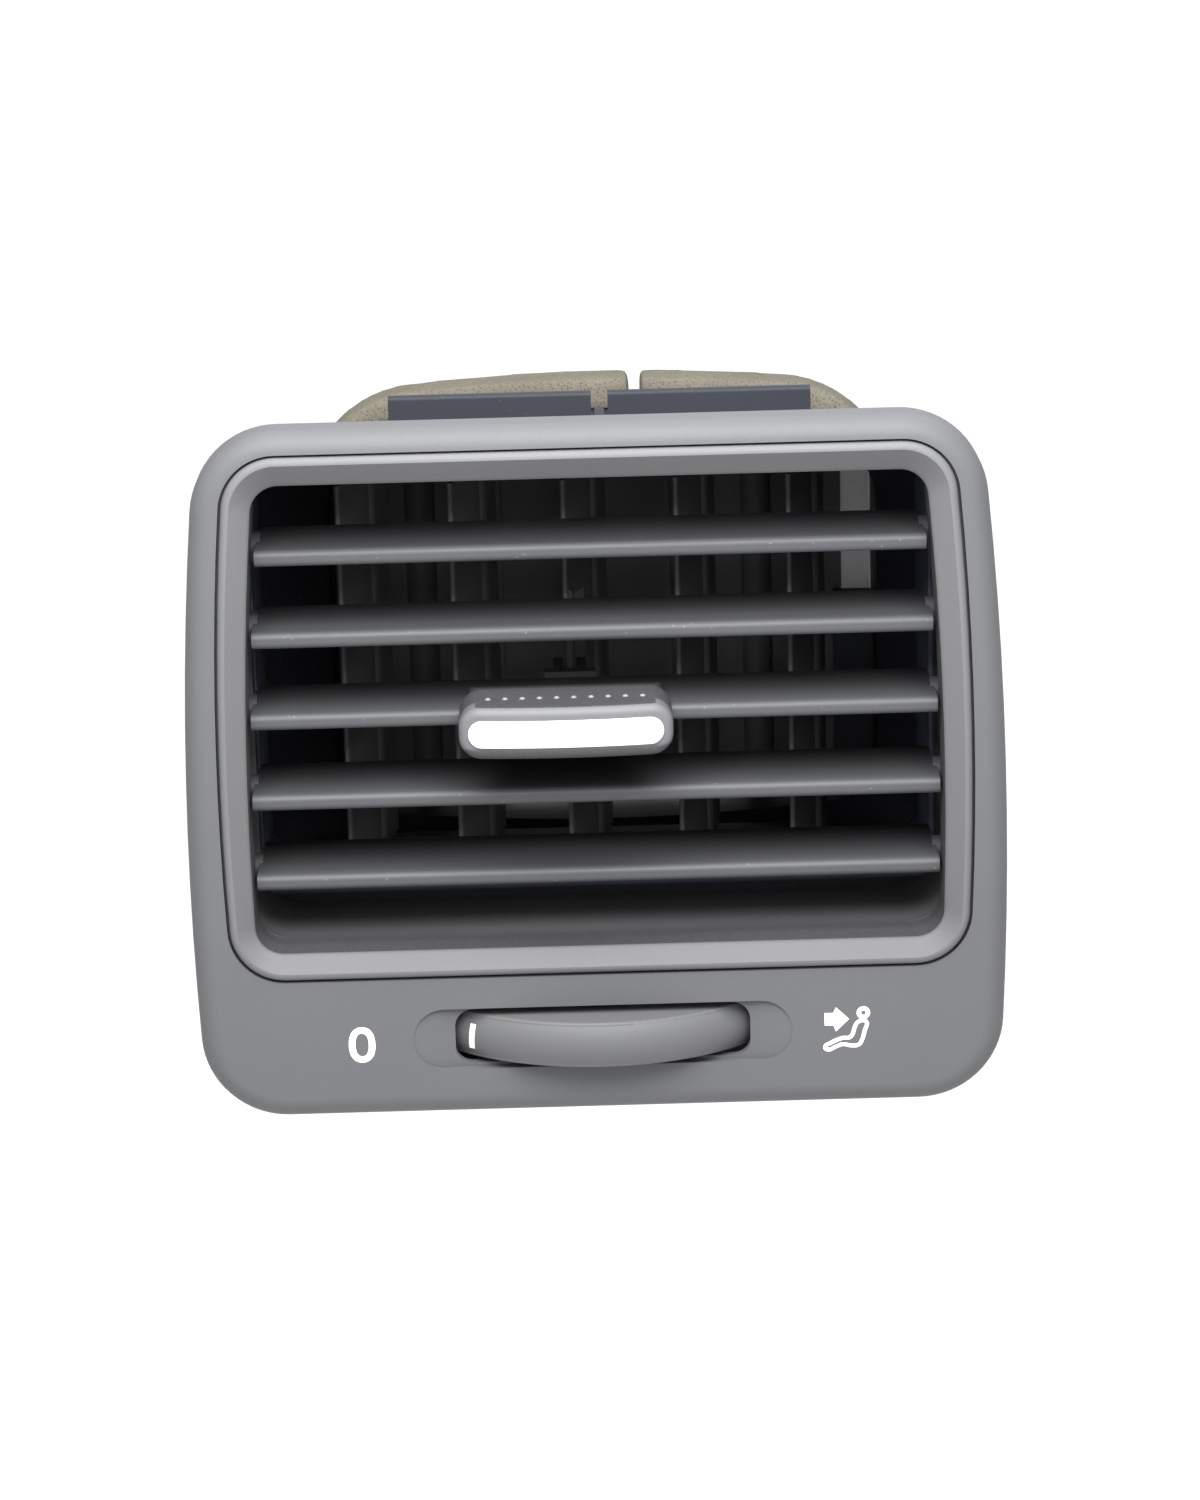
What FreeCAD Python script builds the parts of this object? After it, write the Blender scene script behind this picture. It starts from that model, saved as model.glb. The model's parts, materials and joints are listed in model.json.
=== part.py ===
"""Dashboard air vent with tilting louvres, swinging vanes and a shut-off worked by a thumbwheel.

Millimetres. X runs to the right as the driver sees the vent, Y runs back into the dashboard and
Z runs up. The origin is on the plane where the bezel's rear rim meets the dashboard, level with
the middle louvre's axis. The part is drawn at rest: louvres level, vanes turned a little to one
side with the knob, shut-off closed.
"""
import FreeCAD
import Part

import math
import os

Vector = FreeCAD.Vector
X_AXIS = Vector(1, 0, 0)
Z_AXIS = Vector(0, 0, 1)
OVERCUT = 1.0
SAME_PLACE = 1e-4
SLIVER = 0.01
SMALLEST_CORNER = 0.5

# Face: the louvres' pitch drives its heights and the bezel's width drives its widths
LOUVRE_COUNT = 5
LOUVRE_PITCH = 12.5
TOP_LOUVRE_Z = (LOUVRE_COUNT - 1) / 2 * LOUVRE_PITCH
SPACE_ABOVE_LOUVRES = 11.7
SPACE_BELOW_LOUVRES = 10.1
OPENING_TOP = TOP_LOUVRE_Z + SPACE_ABOVE_LOUVRES
OPENING_BOTTOM = -TOP_LOUVRE_Z - SPACE_BELOW_LOUVRES
RING_TOP_BAND = 4.7
RING_BOTTOM_BAND = 3.4
RING_TOP = OPENING_TOP + RING_TOP_BAND
RING_BOTTOM = OPENING_BOTTOM - RING_BOTTOM_BAND
BEZEL_TOP_BAND = 3.6
BEZEL_CHIN = 22.1
BEZEL_TOP = RING_TOP + BEZEL_TOP_BAND
BEZEL_BOTTOM = RING_BOTTOM - BEZEL_CHIN
BEZEL_HALF_WIDTH = 61.4
BEZEL_SIDE_BAND = 5.4
RING_SIDE_BAND = 3.85
RING_HALF_WIDTH = BEZEL_HALF_WIDTH - BEZEL_SIDE_BAND
OPENING_HALF_WIDTH = RING_HALF_WIDTH - RING_SIDE_BAND

# Bezel
BEZEL_WIDEST_Z = -22.0
BEZEL_SIDE_BOW = 560.0
BEZEL_CORNER = 13.0
BEZEL_FACE_Y = -8.0
BEZEL_EDGE_ROUND = 3.2
BEZEL_WALL = 2.0
LEDGE_THICKNESS = 1.8

# Ring, throat and box of the vent frame
RING_WIDEST_Z = -10.0
RING_SIDE_BOW = 470.0
RING_CORNER = 8.2
RING_GROOVE = 0.35
RING_PROUD = 0.5
RING_LIP_WIDTH = 1.15
RING_LIP_ROUND = 1.1
OPENING_WIDEST_Z = -15.0
OPENING_SIDE_BOW = 500.0
OPENING_CORNER = 4.3
FUNNEL_DEPTH = 3.4
FRAME_WALL = 1.6
BOX_FRONT_Y = 3.0
BOX_BACK_Y = 22.0
BOX_RELIEF = 1.1
BOX_HALF_WIDTH = OPENING_HALF_WIDTH + BOX_RELIEF
BOX_CORNER = 6.5

# Louvres
LOUVRE_PIVOT_Y = 7.0
LOUVRE_NOSE_Y = -2.0
LOUVRE_CHORD = 22.0
LOUVRE_NOSE_THICKNESS = 2.4
LOUVRE_NOSE_ROUND = 0.95
LOUVRE_TAIL_THICKNESS = 1.1
LOUVRE_BELLY_PLACE = 0.35
LOUVRE_BELLY_RISE = 0.05
LOUVRE_END_GAP = 0.45
LOUVRE_SWING = 25.0
LOUVRE_PIN_RADIUS = 1.15
LOUVRE_BOSS_RADIUS = 2.2
LOUVRE_ROOT = 0.5
LOUVRE_CRANK_REACH = 8.0
LOUVRE_CRANK_RADIUS = 0.9
LOUVRE_BAR_THICKNESS = 1.0
LOUVRE_BAR_WIDTH = 4.0
RUNNING_GAP = 0.05
END_PLAY = 0.3

# Knob on the middle louvre
KNOB_X = -4.3
KNOB_WIDTH = 31.7
KNOB_HEIGHT = 7.9
KNOB_CORNER = 3.3
KNOB_FRONT_Y = -13.0
KNOB_FRONT_BOW = 95.0
KNOB_EDGE_ROUND = 1.4
KNOB_PAD_BACK_Y = 8.0
KNOB_PAD_TAIL = 0.9
KNOB_PAD_INSET = 0.9
KNOB_SLIDE_GAP = 0.15
INSERT_WIDTH = 28.9
INSERT_HEIGHT = 4.1
INSERT_DEPTH = 2.4
INSERT_PROUD = 0.5
INSERT_ROUND = 0.45
INSERT_FIT = 0.05
FORK_OFFSET = 0.8
FORK_ARM_WIDTH = 8.0
FORK_ARM_THICKNESS = 1.4
FORK_ARM_FIT = 0.1
FORK_PRONG_WIDTH = 1.4
FORK_PRONG_HEIGHT = 2.4
FORK_PRONG_CHAMFER = 0.4
FORK_BAR_GAP = 0.3
FORK_TAIL_GAP = 0.6
FORK_BRIDGE_LENGTH = 2.0
FORK_PRONG_TIP_Y = 30.4

# Duct shell
SHELL_WALL = 1.6
SHELL_FIT = 0.2
FLANGE_THICKNESS = 2.0
FLANGE_INSET = 3.0
SHELL_STEP_THICKNESS = 2.0
SHELL_STEP_Y = BOX_BACK_Y + SHELL_STEP_THICKNESS
DUCT_SIDE_STEP = 1.25
DUCT_FLOOR_STEP = 2.1
VANE_DUCT_HALF_WIDTH = BOX_HALF_WIDTH - DUCT_SIDE_STEP
VANE_DUCT_HALF_HEIGHT = -OPENING_BOTTOM - DUCT_FLOOR_STEP
VANE_DUCT_CORNER = 4.0
VANE_DUCT_BACK_Y = 47.0
REAR_FRONT_Y = 51.0
REAR_BACK_Y = 82.0
REAR_X = 2.2
REAR_SIDE_TAPER = 8.0
REAR_TOP_TAPER = 2.0
REAR_HALF_WIDTH = VANE_DUCT_HALF_WIDTH - REAR_SIDE_TAPER
REAR_HALF_HEIGHT = VANE_DUCT_HALF_HEIGHT - REAR_TOP_TAPER
REAR_CROWN = 338.0
REAR_CORNER = 8.0
TAB_WIDTH = 31.5
TAB_SPACE = 2.6
TAB_Y = 35.0
TAB_THICKNESS = 2.0
TAB_DROP = 2.8
TAB_TOP = BEZEL_TOP - TAB_DROP
TAB_EDGE_ROUND = 0.6
TAB_ROOT = 0.5
GUSSET_SHARES = (0.12, 0.5, 0.88)
GUSSET_LENGTH = 9.0
GUSSET_THICKNESS = 1.6
GUSSET_DROP = 1.5
TAB_RIB_THICKNESS = 1.5
TAB_RIB_FRONT = 4.0
LATCH_Z = 18.0
LATCH_HEIGHT = 10.0
LATCH_REACH = 2.6
LATCH_LAND = 2.0
LATCH_LENGTH = 13.0
PANEL_THICKNESS = 3.0

# Vanes
VANE_COUNT = 5
VANE_PITCH = 2 * VANE_DUCT_HALF_WIDTH / (VANE_COUNT + 1)
VANE_PIVOT_Y = 38.0
VANE_FRONT_REACH = 14.3
VANE_BACK_REACH = 9.0
VANE_THICKNESS = 1.6
VANE_TAIL_THICKNESS = 0.8
VANE_BARREL_RADIUS = 1.5
VANE_PIN_RADIUS = 1.2
VANE_END_GAP = 0.3
VANE_BAR_REACH = 12.5
VANE_BAR_RADIUS = 0.8
VANE_WINDOW_HALF_HEIGHT = 12.0
VANE_WINDOW_REACH = 6.3
VANE_CRANK_REACH = 6.0
VANE_CRANK_RADIUS = 0.75
VANE_LINK_THICKNESS = 1.3
VANE_LINK_WIDTH = 3.2
RAIL_THICKNESS = 2.2
RAIL_WIDTH = 5.2
RAIL_END = 4.0
RAIL_ROUND = 1.5

# Foam collar
FOAM_FRONT_Y = 71.5
FOAM_BACK_Y = 80.5
FOAM_TOP_THICKNESS = 5.2
FOAM_SIDE_THICKNESS = 3.4
FOAM_CORNER = 20.0
FOAM_BUTT_GAP = 1.8
FOAM_BUTT_X = 8.3

# Shut-off leaves
LEAF_COUNT = 3
LEAF_WALL_GAP = 0.45
LEAF_LAP = 0.8
LEAF_REACH = REAR_HALF_WIDTH - REAR_X - LEAF_WALL_GAP
LEAF_PITCH = (2 * LEAF_REACH - LEAF_LAP) / LEAF_COUNT
LEAF_HALF_CHORD = (LEAF_PITCH + LEAF_LAP) / 2
LEAF_SHAFT_Y = 63.5
LEAF_THICKNESS = 1.8
LEAF_EDGE_THICKNESS = 1.0
LEAF_CORNER = 5.5
LEAF_CLOSED_ANGLE = 6.0
LEAF_BARREL_RADIUS = 2.6
LEAF_PIN_RADIUS = 2.0
LEAF_BOSS_RADIUS = 4.4
LEAF_BOSS_ROOT = 0.3
STOP_LAP = 1.4
STOP_THICKNESS = 1.6
STOP_GAP = 0.3
STOP_TOP_Z = 3.4
SEAL_THICKNESS = 1.0
SEAL_ROOT = 2.0
SEAL_WALL_GAP = 0.15
SEAL_LAP = 3.0

# Linkage under the duct
CRANK_RADIUS = 9.5
CRANK_REST_ANGLE = 188.0
CRANK_THICKNESS = 1.8
CRANK_WIDTH = 6.0
CRANK_PIN_RADIUS = 1.3
LINK_THICKNESS = 1.6
LINK_WIDTH = 5.4
LINK_GAP = 0.3
ROD_THICKNESS = 1.8

# Thumbwheel, its slot and the finger scoop
WHEEL_DROP = 9.9
WHEEL_Z = RING_BOTTOM - WHEEL_DROP
WHEEL_RADIUS = 31.8
WHEEL_PROUD = 5.8
WHEEL_Y = BEZEL_FACE_Y - WHEEL_PROUD + WHEEL_RADIUS
WHEEL_HEIGHT = 7.0
WHEEL_CROWN = 0.9
WHEEL_EDGE_ROUND = 0.5
WHEEL_RIM_WIDTH = 9.0
WHEEL_RIM_LAP = 0.5
WHEEL_WEB_THICKNESS = 2.0
WHEEL_HUB_RADIUS = 5.5
WHEEL_PIN_RADIUS = 2.0
WHEEL_PIN_HEAD_RADIUS = 4.2
WHEEL_PIN_HEAD_HEIGHT = 1.6
WHEEL_PIN_TIP = 0.5
WHEEL_CLIP_THICKNESS = 0.8
WHEEL_RIM_START = -128.0
WHEEL_RIM_END = 52.0
SLOT_HALF_WIDTH = 22.3
SLOT_HEIGHT = 8.5
SLOT_CORNER = 2.6
SCOOP_HALF_WIDTH = 28.6
SCOOP_HEIGHT = 9.5
SCOOP_DEPTH = 2.4
SCOOP_END_DEPTH = 0.12
SCOOP_WALL = 1.6

# Wheel bracket and its screws
BRACKET_WALL = 2.0
BRACKET_SIDE_ROOM = 5.2
BRACKET_HALF_WIDTH = WHEEL_RADIUS + BRACKET_SIDE_ROOM
BRACKET_BACK_Y = 52.0
BRACKET_FLOOR_GAP = 1.8
BRACKET_RAMP = 4.0
BRACKET_PLATE_INSET = 7.4
BRACKET_PLATE_HALF_WIDTH = BEZEL_HALF_WIDTH - BRACKET_PLATE_INSET
BRACKET_PLATE_THICKNESS = 2.0
BRACKET_PLATE_RISE = 4.1
BRACKET_PLATE_BOTTOM = BEZEL_BOTTOM + BRACKET_PLATE_RISE
BRACKET_PLATE_CORNER = 4.0
SCREW_SHARE = 0.6
SCREW_X = BRACKET_HALF_WIDTH + SCREW_SHARE * (BRACKET_PLATE_HALF_WIDTH - BRACKET_HALF_WIDTH)
SCREW_Z = WHEEL_Z
SCREW_RADIUS = 1.1
SCREW_LENGTH = 6.6
SCREW_HEAD_RADIUS = 2.6
SCREW_HEAD_HEIGHT = 1.8
SCREW_HEAD_ROUND = 0.7
SCREW_HOLE_RADIUS = 1.4
BOSS_RADIUS = 3.4
EAR_HALF_WIDTH = 5.5


def block(x_low, x_high, y_low, y_high, z_low, z_high):
    """A box between two corners."""
    return Part.makeBox(x_high - x_low, y_high - y_low, z_high - z_low, Vector(x_low, y_low, z_low))


def rod(radius, start, end):
    """A round bar between two points."""
    run = end - start
    return Part.makeCylinder(radius, run.Length, start, run)


def arc(first, middle, last):
    """An arc edge through three points."""
    return Part.Arc(first, middle, last).toShape()


def turned(shape, centre, degrees, axis=Z_AXIS):
    """A copy of a shape, turned about an axis through a point."""
    copy = shape.copy()
    copy.rotate(centre, axis, degrees)
    return copy


def joined(shapes):
    """One clean solid from shapes that meet."""
    first = shapes[0]
    return first.fuse(shapes[1:]).removeSplitter()


def edges_at_y(shape, y):
    """The edges of a shape that lie in one plane across Y."""
    return [edge for edge in shape.Edges
            if abs(edge.BoundBox.YMin - y) < SAME_PLACE and abs(edge.BoundBox.YMax - y) < SAME_PLACE]


def edges_along_y(shape):
    """The straight edges of a shape that run front to back."""
    return [edge for edge in shape.Edges
            if edge.BoundBox.XLength < SAME_PLACE and edge.BoundBox.ZLength < SAME_PLACE]


def edges_before_y(shape, y):
    """The edges of a shape that lie wholly in front of a depth."""
    return [edge for edge in shape.Edges if edge.BoundBox.YMax < y]


def edge_between(first, middle, last):
    """An arc through three points, or a straight edge when they lie in line."""
    bow = middle.distanceToLine(first, last - first)
    if bow < SAME_PLACE:
        return Part.LineSegment(first, last).toShape()
    return arc(first, middle, last)


class Outline:
    """A face outline with round corners; its sides may bow and its top and bottom may crown."""

    def __init__(self, top, bottom, half_width, corner, widest_z=0.0, side_bow=None, crown=None,
                 centre_x=0.0):
        self.top = top
        self.bottom = bottom
        self.half_width = half_width
        self.corner = corner
        self.widest_z = widest_z
        self.side_bow = side_bow
        self.crown = crown
        self.centre_x = centre_x

    def half_width_at(self, z):
        """Half the width at a height, left of the round corners."""
        if self.side_bow is None:
            return self.half_width
        return self.half_width - (z - self.widest_z) ** 2 / (2 * self.side_bow)

    def fall_at(self, x):
        """How far the crowned top has fallen at an X."""
        return 0.0 if self.crown is None else x ** 2 / (2 * self.crown)

    def prism(self, y_front, y_back, grow=0.0):
        """The outline, grown outwards, as a solid between two depths."""
        top_x = self.half_width_at(self.top) + grow
        bottom_x = self.half_width_at(self.bottom) + grow
        top_z = self.top + grow - self.fall_at(top_x)
        bottom_z = self.bottom - grow + self.fall_at(bottom_x)
        middle_z = (top_z + bottom_z) / 2
        middle_x = self.half_width_at(middle_z) + grow

        def point(x, z):
            return Vector(self.centre_x + x, y_front, z)

        crest = point(0, self.top + grow)
        foot = point(0, self.bottom - grow)
        wire = Part.Wire([
            edge_between(point(-top_x, top_z), crest, point(top_x, top_z)),
            edge_between(point(top_x, top_z), point(middle_x, middle_z), point(bottom_x, bottom_z)),
            edge_between(point(bottom_x, bottom_z), foot, point(-bottom_x, bottom_z)),
            edge_between(point(-bottom_x, bottom_z), point(-middle_x, middle_z), point(-top_x, top_z)),
        ])
        solid = Part.Face(wire).extrude(Vector(0, y_back - y_front, 0))
        radius = max(self.corner + grow, SMALLEST_CORNER)
        return solid.makeFillet(radius, edges_along_y(solid))

    def wire(self, y, grow=0.0):
        """The outline as a closed wire at one depth."""
        solid = self.prism(y, y + OVERCUT, grow)
        face = min(solid.Faces, key=lambda each: each.CenterOfMass.y)
        return face.OuterWire


BEZEL = Outline(BEZEL_TOP, BEZEL_BOTTOM, BEZEL_HALF_WIDTH, BEZEL_CORNER, BEZEL_WIDEST_Z,
                BEZEL_SIDE_BOW)
RING = Outline(RING_TOP, RING_BOTTOM, RING_HALF_WIDTH, RING_CORNER, RING_WIDEST_Z, RING_SIDE_BOW)
OPENING = Outline(OPENING_TOP, OPENING_BOTTOM, OPENING_HALF_WIDTH, OPENING_CORNER,
                  OPENING_WIDEST_Z, OPENING_SIDE_BOW)
BOX = Outline(OPENING_TOP, OPENING_BOTTOM, BOX_HALF_WIDTH, BOX_CORNER)
VANE_DUCT = Outline(VANE_DUCT_HALF_HEIGHT, -VANE_DUCT_HALF_HEIGHT, VANE_DUCT_HALF_WIDTH,
                    VANE_DUCT_CORNER)
REAR = Outline(REAR_HALF_HEIGHT, -REAR_HALF_HEIGHT, REAR_HALF_WIDTH, REAR_CORNER,
               crown=REAR_CROWN, centre_x=REAR_X)
FOAM_HALF_HEIGHT = REAR_HALF_HEIGHT + SHELL_WALL + FOAM_TOP_THICKNESS
FOAM = Outline(FOAM_HALF_HEIGHT, -FOAM_HALF_HEIGHT,
               REAR_HALF_WIDTH + SHELL_WALL + FOAM_SIDE_THICKNESS, FOAM_CORNER,
               crown=REAR_CROWN, centre_x=REAR_X)

FACE_BACK_Y = BEZEL_FACE_Y + BEZEL_WALL
LEDGE_BACK_Y = FACE_BACK_Y + LEDGE_THICKNESS
FLANGE_BACK_Y = LEDGE_BACK_Y + FLANGE_THICKNESS
RING_FRONT_Y = BEZEL_FACE_Y - RING_PROUD
SHELL_INNER_GROW = FRAME_WALL + SHELL_FIT
SHELL_OUTER_GROW = SHELL_INNER_GROW + SHELL_WALL
SHELL_FLOOR_Z = OPENING_BOTTOM - SHELL_OUTER_GROW


def louvre_heights():
    """The height of each louvre's axis, top louvre first."""
    middle = (LOUVRE_COUNT - 1) / 2
    return [(middle - place) * LOUVRE_PITCH for place in range(LOUVRE_COUNT)]


def vane_places():
    """The X of each vane's axis, left vane first."""
    middle = (VANE_COUNT - 1) / 2
    return [(place - middle) * VANE_PITCH for place in range(VANE_COUNT)]


def leaf_places():
    """The X of each leaf's shaft, left leaf first."""
    middle = (LEAF_COUNT - 1) / 2
    return [(place - middle) * LEAF_PITCH for place in range(LEAF_COUNT)]


def rounded_slot(width, height, corner, y_front, y_back, x, z):
    """A flat bar with rounded corners, seen from the front, between two depths."""
    solid = block(x - width / 2, x + width / 2, y_front, y_back, z - height / 2, z + height / 2)
    return solid.makeFillet(min(corner, height / 2 - SLIVER), edges_along_y(solid))


def scoop(grow=0.0):
    """The finger scoop round the thumbwheel's slot, deepest at its middle."""
    depth = SCOOP_DEPTH - SCOOP_END_DEPTH
    radius = (SCOOP_HALF_WIDTH ** 2 + depth ** 2) / (2 * depth)
    dish_y = BEZEL_FACE_Y + SCOOP_DEPTH - radius
    height = SCOOP_HEIGHT + 2 * grow
    outline = rounded_slot(2 * (SCOOP_HALF_WIDTH + grow), height, height / 2,
                           BEZEL_FACE_Y - OVERCUT, FLANGE_BACK_Y, 0, WHEEL_Z)
    dish = Part.makeCylinder(radius + grow, 2 * height, Vector(0, dish_y, WHEEL_Z - height), Z_AXIS)
    return outline.common(dish)


def screw_places():
    """The two places where the bracket and the shell screw to the bezel."""
    return [(-SCREW_X, SCREW_Z), (SCREW_X, SCREW_Z)]


def front_bezel():
    """The outer trim: a shallow shell with the ring's seat, the wheel's slot and two screw bosses."""
    body = BEZEL.prism(BEZEL_FACE_Y, 0)
    body = body.makeFillet(BEZEL_EDGE_ROUND, edges_at_y(body, BEZEL_FACE_Y))
    body = body.cut(BEZEL.prism(FACE_BACK_Y, OVERCUT, -BEZEL_WALL))
    ledge = RING.prism(FACE_BACK_Y, LEDGE_BACK_Y, FRAME_WALL)
    bosses = []
    for x, z in screw_places():
        bosses.append(rod(BOSS_RADIUS, Vector(x, FACE_BACK_Y, z), Vector(x, LEDGE_BACK_Y, z)))
    scoop_back = scoop(SCOOP_WALL).common(BEZEL.prism(FACE_BACK_Y, 0, -BEZEL_WALL))
    body = joined([body, ledge, scoop_back] + bosses)
    body = body.cut(RING.prism(BEZEL_FACE_Y - OVERCUT, FACE_BACK_Y, RING_GROOVE))
    body = body.cut(OPENING.prism(FACE_BACK_Y - OVERCUT, LEDGE_BACK_Y + OVERCUT,
                                  FRAME_WALL + SHELL_FIT))
    body = body.cut(scoop())
    body = body.cut(rounded_slot(2 * SLOT_HALF_WIDTH, SLOT_HEIGHT, SLOT_CORNER,
                                 BEZEL_FACE_Y - OVERCUT, 0, 0, WHEEL_Z))
    for x, z in screw_places():
        body = body.cut(rod(SCREW_RADIUS, Vector(x, LEDGE_BACK_Y + OVERCUT, z),
                            Vector(x, FLANGE_BACK_Y + BRACKET_PLATE_THICKNESS - SCREW_LENGTH, z)))
    return body


def vent_frame():
    """The ring round the outlet, its throat and the box that carries the louvres' pivots."""
    ring = RING.prism(RING_FRONT_Y, FACE_BACK_Y)
    ring = ring.makeFillet(RING_LIP_ROUND, edges_at_y(ring, RING_FRONT_Y))
    throat = OPENING.prism(FACE_BACK_Y, BOX_FRONT_Y, FRAME_WALL)
    box = BOX.prism(BOX_FRONT_Y - FRAME_WALL, BOX_BACK_Y, FRAME_WALL)
    body = joined([ring, throat, box])
    funnel = Part.makeLoft([RING.wire(RING_FRONT_Y, -RING_LIP_WIDTH),
                            OPENING.wire(RING_FRONT_Y + FUNNEL_DEPTH)], True, True)
    body = body.cut(funnel)
    body = body.cut(OPENING.prism(RING_FRONT_Y + FUNNEL_DEPTH - SLIVER, BOX_FRONT_Y))
    body = body.cut(BOX.prism(BOX_FRONT_Y, BOX_BACK_Y + OVERCUT))
    reach = BOX_HALF_WIDTH + FRAME_WALL + OVERCUT
    for z in louvre_heights():
        body = body.cut(rod(LOUVRE_PIN_RADIUS + RUNNING_GAP, Vector(-reach, LOUVRE_PIVOT_Y, z),
                            Vector(reach, LOUVRE_PIVOT_Y, z)))
    return body


def louvre_section(x_low, x_high, z, grow=0.0):
    """The louvre's blade section, thick at the nose, as a solid between two ends."""
    nose = LOUVRE_NOSE_THICKNESS / 2 + grow
    tail = LOUVRE_TAIL_THICKNESS / 2 + grow
    front_y = LOUVRE_NOSE_Y - grow
    nose_y = front_y + LOUVRE_NOSE_ROUND
    tail_y = LOUVRE_NOSE_Y + LOUVRE_CHORD - LOUVRE_TAIL_THICKNESS / 2
    belly_y = nose_y + (tail_y - nose_y) * LOUVRE_BELLY_PLACE
    belly = nose + LOUVRE_BELLY_RISE
    flat = nose - LOUVRE_NOSE_ROUND
    inward = LOUVRE_NOSE_ROUND * (1 - math.sqrt(0.5))

    def point(y, height):
        return Vector(x_low, y, z + height)

    wire = Part.Wire([
        arc(point(nose_y, -nose), point(front_y + inward, inward - nose), point(front_y, -flat)),
        Part.LineSegment(point(front_y, -flat), point(front_y, flat)).toShape(),
        arc(point(front_y, flat), point(front_y + inward, nose - inward), point(nose_y, nose)),
        arc(point(nose_y, nose), point(belly_y, belly), point(tail_y, tail)),
        arc(point(tail_y, tail), point(tail_y + tail, 0), point(tail_y, -tail)),
        arc(point(tail_y, -tail), point(belly_y, -belly), point(nose_y, -nose)),
    ])
    return Part.Face(wire).extrude(Vector(x_high - x_low, 0, 0))


def louvre_half_length(z):
    """Half the blade's length: it clears the bowed throat over the whole swing."""
    rise = (LOUVRE_PIVOT_Y - LOUVRE_NOSE_Y) * math.sin(math.radians(LOUVRE_SWING))
    low = OPENING.half_width_at(z - rise)
    high = OPENING.half_width_at(z + rise)
    return min(low, high) - LOUVRE_END_GAP


def louvre_bar_face_x():
    """The X of the louvre link's face beside the blades."""
    return -max(louvre_half_length(z) for z in louvre_heights()) - END_PLAY


def louvre(z):
    """One louvre: the blade, a shouldered pivot at each end and a crank pin at the left."""
    half = louvre_half_length(z)
    wall = BOX_HALF_WIDTH
    parts = [louvre_section(-half, half, z)]
    for side in (-1, 1):
        parts.append(rod(LOUVRE_BOSS_RADIUS, Vector(side * (half - LOUVRE_ROOT), LOUVRE_PIVOT_Y, z),
                         Vector(side * (wall - END_PLAY), LOUVRE_PIVOT_Y, z)))
        parts.append(rod(LOUVRE_PIN_RADIUS, Vector(side * half, LOUVRE_PIVOT_Y, z),
                         Vector(side * (wall + FRAME_WALL), LOUVRE_PIVOT_Y, z)))
    crank_y = LOUVRE_PIVOT_Y + LOUVRE_CRANK_REACH
    parts.append(rod(LOUVRE_CRANK_RADIUS, Vector(-half + LOUVRE_ROOT, crank_y, z),
                     Vector(louvre_bar_face_x() - LOUVRE_BAR_THICKNESS, crank_y, z)))
    return joined(parts)


def louvre_tie_bar():
    """The upright link that turns all the louvres together."""
    face_x = louvre_bar_face_x()
    crank_y = LOUVRE_PIVOT_Y + LOUVRE_CRANK_REACH
    half = LOUVRE_BAR_WIDTH / 2
    reach = louvre_heights()[0]
    outer_x = face_x - LOUVRE_BAR_THICKNESS
    bar = block(outer_x, face_x, crank_y - half, crank_y + half, -reach, reach)
    ends = [rod(half, Vector(outer_x, crank_y, z), Vector(face_x, crank_y, z)) for z in (-reach, reach)]
    bar = joined([bar] + ends)
    for z in louvre_heights():
        bar = bar.cut(rod(LOUVRE_CRANK_RADIUS + RUNNING_GAP, Vector(outer_x - OVERCUT, crank_y, z),
                          Vector(face_x + OVERCUT, crank_y, z)))
    return bar


def fork_x():
    """The X of the fork's middle at rest."""
    return KNOB_X + FORK_OFFSET


def vane_rest_angle():
    """The vanes' turn at rest, in degrees, negative towards the left."""
    return math.degrees(math.asin(fork_x() / VANE_BAR_REACH))


def pad_level():
    """The height of the knob's pads off the middle louvre's axis."""
    return LOUVRE_NOSE_THICKNESS / 2 + LOUVRE_BELLY_RISE + KNOB_SLIDE_GAP


def insert_pocket(gap=0.0, front_y=KNOB_FRONT_Y):
    """The place of the light insert in the knob's face."""
    return rounded_slot(INSERT_WIDTH + 2 * gap, INSERT_HEIGHT + 2 * gap, INSERT_HEIGHT / 2 + gap,
                        front_y, KNOB_FRONT_Y + INSERT_DEPTH, KNOB_X, 0)


def knob_bow(grow=0.0):
    """The solid behind the knob's bowed front, seen from above."""
    return Part.makeCylinder(KNOB_FRONT_BOW + grow, 2 * KNOB_HEIGHT,
                             Vector(KNOB_X, KNOB_FRONT_Y + KNOB_FRONT_BOW, -KNOB_HEIGHT), Z_AXIS)


def knob_pads():
    """The two pads that clasp the louvre, level with the cap in front and thin behind."""
    half = KNOB_WIDTH / 2 - KNOB_PAD_INSET
    top = KNOB_HEIGHT / 2
    tail = pad_level() + KNOB_PAD_TAIL
    front_y = LOUVRE_NOSE_Y
    shoulder_y = LOUVRE_NOSE_Y + KNOB_EDGE_ROUND
    sides = [(front_y, -top), (shoulder_y, -top), (KNOB_PAD_BACK_Y, -tail), (KNOB_PAD_BACK_Y, tail),
             (shoulder_y, top), (front_y, top)]
    points = [Vector(KNOB_X - half, y, z) for y, z in sides]
    wedge = Part.Face(Part.makePolygon(points + points[:1])).extrude(X_AXIS * 2 * half)
    return wedge.common(rounded_slot(2 * half, KNOB_HEIGHT, KNOB_CORNER, front_y, KNOB_PAD_BACK_Y,
                                     KNOB_X, 0))


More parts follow.
